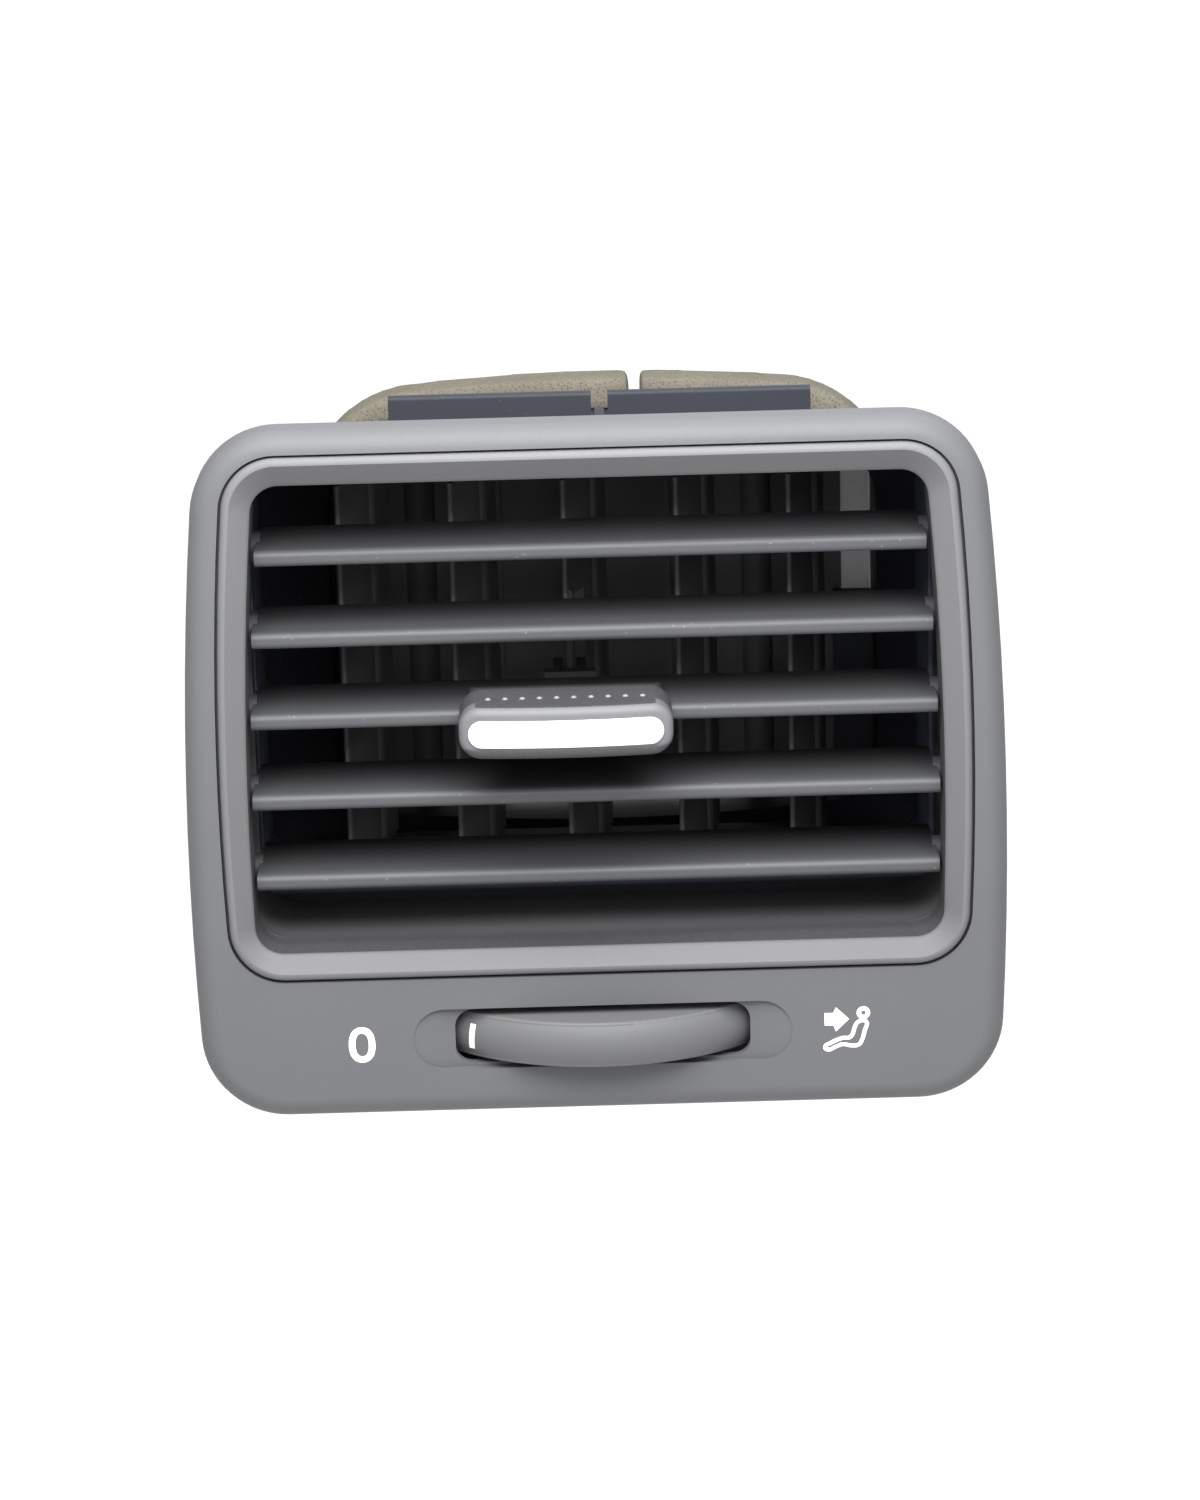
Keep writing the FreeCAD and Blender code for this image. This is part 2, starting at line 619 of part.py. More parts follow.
def knob_body():
    """The knob: a rounded, bowed front with pads that clasp the middle louvre's nose."""
    cap = rounded_slot(KNOB_WIDTH, KNOB_HEIGHT, KNOB_CORNER, KNOB_FRONT_Y,
                       LOUVRE_NOSE_Y + KNOB_EDGE_ROUND, KNOB_X, 0).common(knob_bow())
    cap = cap.makeFillet(KNOB_EDGE_ROUND, edges_before_y(cap, KNOB_FRONT_Y + 2 * KNOB_EDGE_ROUND))
    body = joined([cap, knob_pads()])
    reach = KNOB_WIDTH
    body = body.cut(louvre_section(KNOB_X - reach, KNOB_X + reach, 0, KNOB_SLIDE_GAP))
    level = pad_level()
    tail = LOUVRE_NOSE_Y + LOUVRE_NOSE_THICKNESS
    body = body.cut(block(KNOB_X - reach, KNOB_X + reach, tail, KNOB_PAD_BACK_Y + OVERCUT,
                          -level, level))
    body = body.cut(insert_pocket(INSERT_FIT, KNOB_FRONT_Y - OVERCUT))
    channel = FORK_ARM_WIDTH / 2 + FORK_ARM_FIT
    return body.cut(block(fork_x() - channel, fork_x() + channel, LOUVRE_NOSE_Y + KNOB_EDGE_ROUND,
                          KNOB_PAD_BACK_Y + OVERCUT, -KNOB_HEIGHT, -level))


def knob_insert():
    """The light bar let into the knob's face, slightly proud, bowed and rounded."""
    insert = insert_pocket(0, KNOB_FRONT_Y - INSERT_PROUD).common(knob_bow(INSERT_PROUD))
    return insert.makeFillet(INSERT_ROUND, edges_before_y(insert, KNOB_FRONT_Y + INSERT_DEPTH / 2))


def knob_fork():
    """The fork that reaches back under the louvre and holds the middle vane's bar."""
    x = fork_x()
    level = pad_level()
    half_arm = FORK_ARM_WIDTH / 2
    tail_y = LOUVRE_NOSE_Y + LOUVRE_CHORD + FORK_TAIL_GAP
    bridge_y = tail_y + FORK_BRIDGE_LENGTH
    inner = VANE_BAR_RADIUS + FORK_BAR_GAP
    outer = inner + FORK_PRONG_WIDTH
    half_prong = FORK_PRONG_HEIGHT / 2
    floor = -level - FORK_ARM_THICKNESS
    arm = block(x - half_arm, x + half_arm, LOUVRE_NOSE_Y + KNOB_EDGE_ROUND + FORK_ARM_FIT, bridge_y,
                floor, -level)
    riser = block(x - half_arm, x + half_arm, tail_y, bridge_y, floor, half_prong)
    parts = [arm, riser]
    for side in (-1, 1):
        low, high = sorted((x + side * inner, x + side * outer))
        prong = block(low, high, tail_y, FORK_PRONG_TIP_Y, -half_prong, half_prong)
        tips = [edge for edge in edges_at_y(prong, FORK_PRONG_TIP_Y)
                if edge.BoundBox.ZLength < SAME_PLACE]
        parts.append(prong.makeChamfer(FORK_PRONG_CHAMFER, tips))
    return joined(parts)


def vane_half_height():
    """Half the blade height of a vane, between its two bearing rails."""
    return VANE_DUCT_HALF_HEIGHT - RAIL_THICKNESS - VANE_END_GAP


def vane(x, windowed):
    """One vane at rest; the middle one has a window with the bar that the knob's fork drives."""
    half = vane_half_height()
    thick = VANE_THICKNESS / 2
    tail = VANE_TAIL_THICKNESS / 2
    front_y = VANE_PIVOT_Y - VANE_FRONT_REACH
    back_y = VANE_PIVOT_Y + VANE_BACK_REACH

    def point(dx, y):
        return Vector(x + dx, y, -half)

    wire = Part.Wire([
        arc(point(-tail, front_y + tail), point(0, front_y), point(tail, front_y + tail)),
        arc(point(tail, front_y + tail), point(thick, VANE_PIVOT_Y), point(tail, back_y - tail)),
        arc(point(tail, back_y - tail), point(0, back_y), point(-tail, back_y - tail)),
        arc(point(-tail, back_y - tail), point(-thick, VANE_PIVOT_Y), point(-tail, front_y + tail)),
    ])
    blade = Part.Face(wire).extrude(Vector(0, 0, 2 * half))
    if windowed:
        blade = blade.cut(block(x - OVERCUT, x + OVERCUT, front_y - OVERCUT,
                                VANE_PIVOT_Y - VANE_WINDOW_REACH, -VANE_WINDOW_HALF_HEIGHT,
                                VANE_WINDOW_HALF_HEIGHT))
    pin_half = VANE_DUCT_HALF_HEIGHT - VANE_END_GAP
    pivot = Vector(x, VANE_PIVOT_Y, 0)
    parts = [blade,
             rod(VANE_BARREL_RADIUS, pivot - Z_AXIS * half, pivot + Z_AXIS * half),
             rod(VANE_PIN_RADIUS, pivot - Z_AXIS * pin_half, pivot + Z_AXIS * pin_half)]
    crank_y = VANE_PIVOT_Y + VANE_CRANK_REACH
    parts.append(rod(VANE_CRANK_RADIUS, Vector(x, crank_y, vane_link_low_z()),
                     Vector(x, crank_y, -half + OVERCUT)))
    if windowed:
        bar_y = VANE_PIVOT_Y - VANE_BAR_REACH
        reach = VANE_WINDOW_HALF_HEIGHT + OVERCUT
        parts.append(rod(VANE_BAR_RADIUS, Vector(x, bar_y, -reach), Vector(x, bar_y, reach)))
    return turned(joined(parts), pivot, vane_rest_angle())


def vane_link_low_z():
    """The height of the vane link's lower face."""
    return -vane_half_height() - END_PLAY - VANE_LINK_THICKNESS


def vane_crank_place(x):
    """The middle of a vane's crank pin at rest."""
    angle = math.radians(vane_rest_angle())
    return Vector(x - VANE_CRANK_REACH * math.sin(angle),
                  VANE_PIVOT_Y + VANE_CRANK_REACH * math.cos(angle), vane_link_low_z())


def drilled_link(places, width, thickness, hole_radius):
    """A flat link with round ends on the places' height; a hole radius of 0 leaves it undrilled."""
    first, last = places[0], places[-1]
    run = last - first
    across = run.cross(Z_AXIS)
    across.normalize()
    across = across * (width / 2)
    corners = [first - across, last - across, last + across, first + across, first - across]
    bar = Part.Face(Part.makePolygon(corners)).extrude(Z_AXIS * thickness)
    ends = [rod(width / 2, place, place + Z_AXIS * thickness) for place in (first, last)]
    bar = joined([bar] + ends)
    if hole_radius == 0:
        return bar
    for place in places:
        bar = bar.cut(rod(hole_radius, place - Z_AXIS * OVERCUT,
                          place + Z_AXIS * (thickness + OVERCUT)))
    return bar


def vane_tie_bar():
    """The link that turns all the vanes together."""
    places = [vane_crank_place(x) for x in vane_places()]
    return drilled_link(places, VANE_LINK_WIDTH, VANE_LINK_THICKNESS, VANE_CRANK_RADIUS + RUNNING_GAP)


def vane_rail(side):
    """One bearing rail, above or below the vanes, with a hole for each pin."""
    outer = side * VANE_DUCT_HALF_HEIGHT
    inner = side * (VANE_DUCT_HALF_HEIGHT - RAIL_THICKNESS)
    low, high = sorted((outer, inner))
    reach = vane_places()[-1] + RAIL_END
    half = RAIL_WIDTH / 2
    rail = block(-reach, reach, VANE_PIVOT_Y - half, VANE_PIVOT_Y + half, low, high)
    upright = [edge for edge in rail.Edges if edge.BoundBox.ZLength > RAIL_THICKNESS / 2]
    rail = rail.makeFillet(RAIL_ROUND, upright)
    for x in vane_places():
        rail = rail.cut(rod(VANE_PIN_RADIUS + RUNNING_GAP, Vector(x, VANE_PIVOT_Y, low - OVERCUT),
                            Vector(x, VANE_PIVOT_Y, high + OVERCUT)))
    return rail


def boss_level():
    """The outer end of the leaf bearings' bosses, above or below the duct's middle."""
    return REAR_HALF_HEIGHT + SHELL_WALL + SHELL_FIT


def rear_half_height_at(x):
    """The inner half-height of the rear duct at an X."""
    return REAR_HALF_HEIGHT - (x - REAR_X) ** 2 / (2 * REAR_CROWN)


def latch(side, z):
    """One wedge that snaps behind the dashboard panel."""
    wall_x = BOX_HALF_WIDTH + SHELL_OUTER_GROW
    low = z - LATCH_HEIGHT / 2
    points = [Vector(side * (wall_x - SHELL_WALL / 2), PANEL_THICKNESS, low),
              Vector(side * (wall_x + LATCH_REACH), PANEL_THICKNESS, low),
              Vector(side * (wall_x + LATCH_REACH), PANEL_THICKNESS + LATCH_LAND, low),
              Vector(side * (wall_x - SHELL_WALL / 2), PANEL_THICKNESS + LATCH_LENGTH, low)]
    return Part.Face(Part.makePolygon(points + points[:1])).extrude(Z_AXIS * LATCH_HEIGHT)


def gusset(x, base):
    """One upright gusset behind a tab."""
    back = TAB_Y + TAB_THICKNESS
    top = TAB_TOP - GUSSET_DROP
    points = [Vector(x, back - TAB_ROOT, base), Vector(x, back + GUSSET_LENGTH, base),
              Vector(x, back, top), Vector(x, back - TAB_ROOT, top)]
    return Part.Face(Part.makePolygon(points + points[:1])).extrude(X_AXIS * GUSSET_THICKNESS)


def top_tabs():
    """The two upright tabs on top of the duct, with gussets behind them and a rib between."""
    base = VANE_DUCT_HALF_HEIGHT + SHELL_WALL / 2
    parts = []
    for side in (-1, 1):
        near = REAR_X + side * TAB_SPACE / 2
        low, high = sorted((near, near + side * TAB_WIDTH))
        tab = block(low, high, TAB_Y, TAB_Y + TAB_THICKNESS, base, TAB_TOP)
        top = [edge for edge in tab.Edges
               if edge.BoundBox.ZMin > TAB_TOP - SAME_PLACE and edge.BoundBox.XLength > TAB_THICKNESS]
        parts.append(tab.makeFillet(TAB_EDGE_ROUND, top))
        for share in GUSSET_SHARES:
            parts.append(gusset(low + share * TAB_WIDTH - GUSSET_THICKNESS / 2, base))
    rib_half = TAB_RIB_THICKNESS / 2
    parts.append(block(REAR_X - rib_half, REAR_X + rib_half, TAB_Y - TAB_RIB_FRONT,
                       TAB_Y + GUSSET_LENGTH, base, (base + TAB_TOP) / 2))
    return parts


def duct_shell():
    """The duct: flange, front box, vane section, taper, shut-off chamber and rear collar."""
    flange = BEZEL.prism(LEDGE_BACK_Y, FLANGE_BACK_Y, -FLANGE_INSET)
    reach = BEZEL_HALF_WIDTH
    below = block(-reach, reach, LEDGE_BACK_Y - OVERCUT, FLANGE_BACK_Y + OVERCUT,
                  BEZEL_BOTTOM - OVERCUT, SHELL_FLOOR_Z - SHELL_WALL)
    flange = flange.cut(below)
    ears = []
    for x, z in screw_places():
        ears.append(block(x - EAR_HALF_WIDTH, x + EAR_HALF_WIDTH, LEDGE_BACK_Y, FLANGE_BACK_Y,
                          z - EAR_HALF_WIDTH, SHELL_FLOOR_Z))
    front_box = BOX.prism(LEDGE_BACK_Y, SHELL_STEP_Y, SHELL_OUTER_GROW)
    vane_duct = VANE_DUCT.prism(BOX_BACK_Y, VANE_DUCT_BACK_Y, SHELL_WALL)
    taper = Part.makeLoft([VANE_DUCT.wire(VANE_DUCT_BACK_Y, SHELL_WALL),
                           REAR.wire(REAR_FRONT_Y, SHELL_WALL)], True, True)
    rear = REAR.prism(REAR_FRONT_Y, REAR_BACK_Y, SHELL_WALL)
    latches = [latch(side, z) for side in (-1, 1) for z in (-LATCH_Z, LATCH_Z)]
    level = boss_level()
    bearings = []
    for x in leaf_places():
        for side in (-1, 1):
            inner = side * (rear_half_height_at(x) + LEAF_BOSS_ROOT)
            bearings.append(rod(LEAF_BOSS_RADIUS, Vector(x, LEAF_SHAFT_Y, inner),
                                Vector(x, LEAF_SHAFT_Y, side * level)))
    walls = [flange, front_box, vane_duct, taper, rear]
    shell = joined(walls + ears + latches + bearings + top_tabs())
    shell = shell.cut(BOX.prism(LEDGE_BACK_Y - OVERCUT, BOX_BACK_Y, SHELL_INNER_GROW))
    shell = shell.cut(VANE_DUCT.prism(BOX_BACK_Y - OVERCUT, VANE_DUCT_BACK_Y))
    shell = shell.cut(Part.makeLoft([VANE_DUCT.wire(VANE_DUCT_BACK_Y),
                                     REAR.wire(REAR_FRONT_Y)], True, True))
    shell = shell.cut(REAR.prism(REAR_FRONT_Y, REAR_BACK_Y + OVERCUT))
    for x in leaf_places():
        shell = shell.cut(rod(LEAF_PIN_RADIUS + RUNNING_GAP, Vector(x, LEAF_SHAFT_Y, -level - OVERCUT),
                              Vector(x, LEAF_SHAFT_Y, level + OVERCUT)))
    for x, z in screw_places():
        shell = shell.cut(rod(SCREW_HOLE_RADIUS, Vector(x, LEDGE_BACK_Y - OVERCUT, z),
                              Vector(x, FLANGE_BACK_Y + OVERCUT, z)))
    return joined([shell] + closing_stops())


def closing_stops():
    """The two ribs that the outer leaves close against; the right one stops below the seal."""
    swing = math.radians(LEAF_CLOSED_ANGLE)
    offset = (LEAF_HALF_CHORD - STOP_LAP) * math.sin(swing) - LEAF_THICKNESS / 2 - STOP_GAP
    leaf_edge = leaf_places()[-1] + LEAF_HALF_CHORD * math.cos(swing) - STOP_LAP
    reach = REAR_HALF_WIDTH + SHELL_WALL
    tall = REAR_HALF_HEIGHT + SHELL_WALL
    left_y = LEAF_SHAFT_Y - offset
    right_y = LEAF_SHAFT_Y + offset - STOP_THICKNESS
    inside = REAR.prism(REAR_FRONT_Y, REAR_BACK_Y, SHELL_WALL / 2)
    left = block(REAR_X - reach, -leaf_edge, left_y, left_y + STOP_THICKNESS, -tall, tall)
    right = block(leaf_edge, REAR_X + reach, right_y, right_y + STOP_THICKNESS, -tall, STOP_TOP_Z)
    return [left.common(inside), right.common(inside)]


def collar_foam():
    """The foam strip round the rear collar, butted on top."""
    ring = FOAM.prism(FOAM_FRONT_Y, FOAM_BACK_Y)
    ring = ring.cut(REAR.prism(FOAM_FRONT_Y - OVERCUT, FOAM_BACK_Y + OVERCUT, SHELL_WALL))
    half = FOAM_BUTT_GAP / 2
    return ring.cut(block(FOAM_BUTT_X - half, FOAM_BUTT_X + half, FOAM_FRONT_Y - OVERCUT,
                          FOAM_BACK_Y + OVERCUT, 0, FOAM_HALF_HEIGHT + OVERCUT))


def crank_top_z():
    """The height of the cranks' upper face, under the bearing bosses."""
    return -boss_level() - LINK_GAP


def shutter_link_low_z():
    """The height of the leaf link's lower face."""
    return crank_top_z() - CRANK_THICKNESS - LINK_GAP - LINK_THICKNESS


def rod_low_z():
    """The height of the link rod's lower face, under the duct's front box."""
    return min(SHELL_FLOOR_Z, shutter_link_low_z()) - LINK_GAP - ROD_THICKNESS


def crank_reach():
    """From a shaft's axis to its crank pin at rest."""
    angle = math.radians(CRANK_REST_ANGLE)
    return Vector(CRANK_RADIUS * math.cos(angle), CRANK_RADIUS * math.sin(angle), 0)


def leaf_half_height():
    """Half the leaves' height, under the crowned duct."""
    return rear_half_height_at(-LEAF_REACH) - LEAF_WALL_GAP


def shutter_leaf(x):
    """One leaf of the shut-off, closed, with its shaft."""
    half = LEAF_HALF_CHORD
    thick = LEAF_THICKNESS / 2
    edge = LEAF_EDGE_THICKNESS / 2
    tall = leaf_half_height()

    def point(dx, dy):
        return Vector(x + dx, LEAF_SHAFT_Y + dy, -tall)

    corners = [point(-half, -edge), point(0, -thick), point(half, -edge),
               point(half, edge), point(0, thick), point(-half, edge)]
    blade = Part.Face(Part.makePolygon(corners + corners[:1])).extrude(Z_AXIS * 2 * tall)
    if x in (leaf_places()[0], leaf_places()[-1]):
        face = block(x - half, x + half, LEAF_SHAFT_Y - LEAF_THICKNESS,
                     LEAF_SHAFT_Y + LEAF_THICKNESS, -tall, tall)
        outer = [rim for rim in edges_along_y(face) if abs(rim.BoundBox.XMin) > abs(x)]
        blade = blade.common(face.makeFillet(LEAF_CORNER, outer))
    shaft_top = Vector(x, LEAF_SHAFT_Y, boss_level())
    shaft_bottom = Vector(x, LEAF_SHAFT_Y, crank_top_z() - CRANK_THICKNESS)
    centre = Vector(x, LEAF_SHAFT_Y, 0)
    barrel = rod(LEAF_BARREL_RADIUS, centre - Z_AXIS * tall, centre + Z_AXIS * tall)
    leaf = joined([blade, barrel, rod(LEAF_PIN_RADIUS, shaft_bottom, shaft_top)])
    return turned(leaf, centre, LEAF_CLOSED_ANGLE)


def leaf_seal():
    """The felt strip behind the right leaf's outer edge that closes the space beside it."""
    x = leaf_places()[-1]
    edge_x = x + LEAF_HALF_CHORD
    wall_x = REAR_X + REAR_HALF_WIDTH
    face_y = LEAF_SHAFT_Y + LEAF_EDGE_THICKNESS / 2
    strip = block(edge_x - SEAL_ROOT, wall_x, face_y, face_y + SEAL_THICKNESS,
                  STOP_TOP_Z - SEAL_LAP, REAR_HALF_HEIGHT)
    strip = turned(strip, Vector(x, LEAF_SHAFT_Y, 0), LEAF_CLOSED_ANGLE)
    room = REAR.prism(REAR_FRONT_Y, REAR_BACK_Y, -SEAL_WALL_GAP)
    return strip.common(room).cut(shutter_leaf(x))


def shutter_crank(x):
    """The crank pressed on a leaf's shaft; the middle one's pin also carries the link rod."""
    top = crank_top_z()
    shaft = Vector(x, LEAF_SHAFT_Y, top - CRANK_THICKNESS)
    pin = shaft + crank_reach()
    arm = drilled_link([shaft, pin], CRANK_WIDTH, CRANK_THICKNESS, 0)
    low = rod_low_z() if abs(x) < LEAF_PITCH / 2 else shutter_link_low_z()
    arm = joined([arm, rod(CRANK_PIN_RADIUS, Vector(pin.x, pin.y, low),
                           pin + Z_AXIS * CRANK_THICKNESS)])
    return arm.cut(rod(LEAF_PIN_RADIUS, shaft - Z_AXIS * OVERCUT,
                       shaft + Z_AXIS * (CRANK_THICKNESS + OVERCUT)))


def shutter_link():
    """The link that turns the three leaves together."""
    places = [Vector(x, LEAF_SHAFT_Y, shutter_link_low_z()) + crank_reach() for x in leaf_places()]
    return drilled_link(places, LINK_WIDTH, LINK_THICKNESS, CRANK_PIN_RADIUS + RUNNING_GAP)


def link_rod():
    """The rod from the thumbwheel's crank pin back to the middle leaf's crank."""
    low = rod_low_z()
    places = [Vector(0, WHEEL_Y, low) + crank_reach(), Vector(0, LEAF_SHAFT_Y, low) + crank_reach()]
    return drilled_link(places, LINK_WIDTH, ROD_THICKNESS, CRANK_PIN_RADIUS + RUNNING_GAP)


def wheel_sector(radius, z_low, z_high):
    """A pie slice that holds the wheel's rim angles, measured from the front."""
    height = z_high - z_low
    span = WHEEL_RIM_END - WHEEL_RIM_START
    sector = Part.makeCylinder(radius, height, Vector(0, WHEEL_Y, z_low), Z_AXIS, span)
    return turned(sector, Vector(0, WHEEL_Y, 0), WHEEL_RIM_START - 90)


def thumbwheel():
    """The wheel: a crowned rim over half a turn, a web, a hub and the crank pin."""
    half = WHEEL_HEIGHT / 2
    centre = Vector(0, WHEEL_Y, WHEEL_Z)
    edge_radius = WHEEL_RADIUS - WHEEL_CROWN
    inner = WHEEL_RADIUS - WHEEL_RIM_WIDTH

    def point(radius, z):
        return Vector(radius, WHEEL_Y, WHEEL_Z + z)

    def side(radius, z, to_radius, to_z):
        return Part.LineSegment(point(radius, z), point(to_radius, to_z)).toShape()

    high = half - WHEEL_EDGE_ROUND
    shoulder = edge_radius - WHEEL_EDGE_ROUND
    slant = WHEEL_EDGE_ROUND * math.sqrt(0.5)
    rim_edges = [side(inner, -half, shoulder, -half),
                 arc(point(shoulder, -half), point(shoulder + slant, -high - slant),
                     point(edge_radius, -high)),
                 arc(point(edge_radius, -high), point(WHEEL_RADIUS, 0), point(edge_radius, high)),
                 arc(point(edge_radius, high), point(shoulder + slant, high + slant),
                     point(shoulder, half)),
                 side(shoulder, half, inner, half),
                 side(inner, half, inner, -half)]
    rim = Part.Face(Part.Wire(rim_edges)).revolve(centre, Z_AXIS, WHEEL_RIM_END - WHEEL_RIM_START)
    rim = turned(rim, centre, WHEEL_RIM_START - 90)
    web_half = WHEEL_WEB_THICKNESS / 2
    web = wheel_sector(inner + WHEEL_RIM_LAP, WHEEL_Z - web_half, WHEEL_Z + web_half)
    hub = rod(WHEEL_HUB_RADIUS, centre - Z_AXIS * half, centre + Z_AXIS * half)
    pin = Vector(0, WHEEL_Y, 0) + crank_reach()
    arm = drilled_link([centre, Vector(pin.x, pin.y, WHEEL_Z)], CRANK_WIDTH, half, 0)
    crank = rod(CRANK_PIN_RADIUS, Vector(pin.x, pin.y, WHEEL_Z),
                Vector(pin.x, pin.y, rod_low_z() + ROD_THICKNESS))
    wheel = joined([rim, web, hub, arm, crank])
    return wheel.cut(rod(WHEEL_PIN_RADIUS + RUNNING_GAP, centre - Z_AXIS * WHEEL_HEIGHT,
                         centre + Z_AXIS * WHEEL_HEIGHT))


def bracket_floor_z():
    """The height of the bracket's floor, under the wheel."""
    return WHEEL_Z - WHEEL_HEIGHT / 2 - BRACKET_FLOOR_GAP


def wheel_bracket():
    """The tray that carries the wheel: a front plate, a floor with a boss and two side walls."""
    floor = bracket_floor_z()
    plate_back = FLANGE_BACK_Y + BRACKET_PLATE_THICKNESS
    half = BRACKET_HALF_WIDTH
    plate = block(-BRACKET_PLATE_HALF_WIDTH, BRACKET_PLATE_HALF_WIDTH, FLANGE_BACK_Y, plate_back,
                  BRACKET_PLATE_BOTTOM, SHELL_FLOOR_Z - SHELL_WALL)
    plate = plate.makeFillet(BRACKET_PLATE_CORNER, [edge for edge in edges_along_y(plate)
                                                    if edge.BoundBox.ZMin < WHEEL_Z])
    tray = block(-half, half, FLANGE_BACK_Y, BRACKET_BACK_Y, floor - BRACKET_WALL, SHELL_FLOOR_Z)
    tray = tray.cut(block(-half + BRACKET_WALL, half - BRACKET_WALL, FLANGE_BACK_Y - OVERCUT,
                          BRACKET_BACK_Y + OVERCUT, floor, SHELL_FLOOR_Z + OVERCUT))
    ramp = WHEEL_Y + WHEEL_HUB_RADIUS + BRACKET_RAMP
    side_cut = block(-half - OVERCUT, half + OVERCUT, ramp, BRACKET_BACK_Y + OVERCUT,
                     WHEEL_Z + WHEEL_HEIGHT / 2, SHELL_FLOOR_Z + OVERCUT)
    tray = tray.cut(side_cut)
    boss = rod(WHEEL_HUB_RADIUS, Vector(0, WHEEL_Y, floor - BRACKET_WALL),
               Vector(0, WHEEL_Y, floor + BRACKET_FLOOR_GAP - LINK_GAP))
    body = joined([plate, tray, boss])
    body = body.cut(block(-half + BRACKET_WALL, half - BRACKET_WALL, FLANGE_BACK_Y - OVERCUT,
                          plate_back + OVERCUT, floor, SHELL_FLOOR_Z + OVERCUT))
    body = body.cut(rod(WHEEL_PIN_RADIUS, Vector(0, WHEEL_Y, floor - BRACKET_WALL - OVERCUT),
                        Vector(0, WHEEL_Y, WHEEL_Z)))
    for x, z in screw_places():
        body = body.cut(rod(SCREW_HOLE_RADIUS, Vector(x, FLANGE_BACK_Y - OVERCUT, z),
                            Vector(x, plate_back + OVERCUT, z)))
    return body


def wheel_pin():
    """The headed pin that the wheel turns on."""
    bottom = bracket_floor_z() - BRACKET_WALL
    top = WHEEL_Z + WHEEL_HEIGHT / 2 + LINK_GAP + WHEEL_CLIP_THICKNESS + WHEEL_PIN_TIP
    head = rod(WHEEL_PIN_HEAD_RADIUS, Vector(0, WHEEL_Y, bottom - WHEEL_PIN_HEAD_HEIGHT),
               Vector(0, WHEEL_Y, bottom))
    return joined([head, rod(WHEEL_PIN_RADIUS, Vector(0, WHEEL_Y, bottom), Vector(0, WHEEL_Y, top))])


def wheel_clip():
    """The push-on washer that keeps the wheel on its pin."""
    low = WHEEL_Z + WHEEL_HEIGHT / 2 + LINK_GAP
    washer = rod(WHEEL_PIN_HEAD_RADIUS, Vector(0, WHEEL_Y, low),
                 Vector(0, WHEEL_Y, low + WHEEL_CLIP_THICKNESS))
    return washer.cut(rod(WHEEL_PIN_RADIUS, Vector(0, WHEEL_Y, low - OVERCUT),
                          Vector(0, WHEEL_Y, low + OVERCUT * 2)))


def bezel_screws():
    """The two screws through the bracket and the shell's ears into the bezel."""
    seat = FLANGE_BACK_Y + BRACKET_PLATE_THICKNESS
    screws = []
    for x, z in screw_places():
        head = rod(SCREW_HEAD_RADIUS, Vector(x, seat, z), Vector(x, seat + SCREW_HEAD_HEIGHT, z))
        head = head.makeFillet(SCREW_HEAD_ROUND, edges_at_y(head, seat + SCREW_HEAD_HEIGHT))
        screws.append(joined([head, rod(SCREW_RADIUS, Vector(x, seat, z),
                                        Vector(x, seat - SCREW_LENGTH, z))]))
    return Part.Compound(screws)


def all_parts():
    """Every node's name and shape."""
    parts = {
        "front_bezel": front_bezel(),
        "vent_frame": vent_frame(),
        "duct_shell": duct_shell(),
        "louvre_tie_bar": louvre_tie_bar(),
        "knob_body": knob_body(),
        "knob_insert": knob_insert(),
        "knob_fork": knob_fork(),
        "vane_tie_bar": vane_tie_bar(),
        "vane_rail_upper": vane_rail(1),
        "vane_rail_lower": vane_rail(-1),
        "collar_foam": collar_foam(),
        "leaf_seal": leaf_seal(),
        "shutter_link": shutter_link(),
        "link_rod": link_rod(),
        "thumbwheel": thumbwheel(),
        "wheel_bracket": wheel_bracket(),
        "wheel_pin": wheel_pin(),
        "wheel_clip": wheel_clip(),
        "bezel_screws": bezel_screws(),
    }
    for number, z in enumerate(louvre_heights(), 1):
        parts[f"louvre_{number}"] = louvre(z)
    for number, x in enumerate(vane_places(), 1):
        parts[f"vane_{number}"] = vane(x, abs(x) < VANE_PITCH / 2)
    for number, x in enumerate(leaf_places(), 1):
        parts[f"shutter_leaf_{number}"] = shutter_leaf(x)
        parts[f"shutter_crank_{number}"] = shutter_crank(x)
    return parts


os.makedirs("parts", exist_ok=True)
for name, shape in all_parts().items():
    if not shape.isValid():
        print("not valid:", name)
    shape.exportStep(f"parts/{name}.step")
    box = shape.optimalBoundingBox()
    print(f"{name:18s} solids {len(shape.Solids)} volume {shape.Volume:9.1f}"
          f"  x {box.XMin:7.2f} {box.XMax:7.2f}  y {box.YMin:7.2f} {box.YMax:7.2f}"
          f"  z {box.ZMin:7.2f} {box.ZMax:7.2f}")
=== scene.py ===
"""Looks for the dashboard air vent: moulded plastics, printed marks, grip dots, foam and studio.

Metres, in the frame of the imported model: X right, Y back into the dashboard, Z up.
"""

import json
import math

import bpy
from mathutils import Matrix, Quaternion, Vector


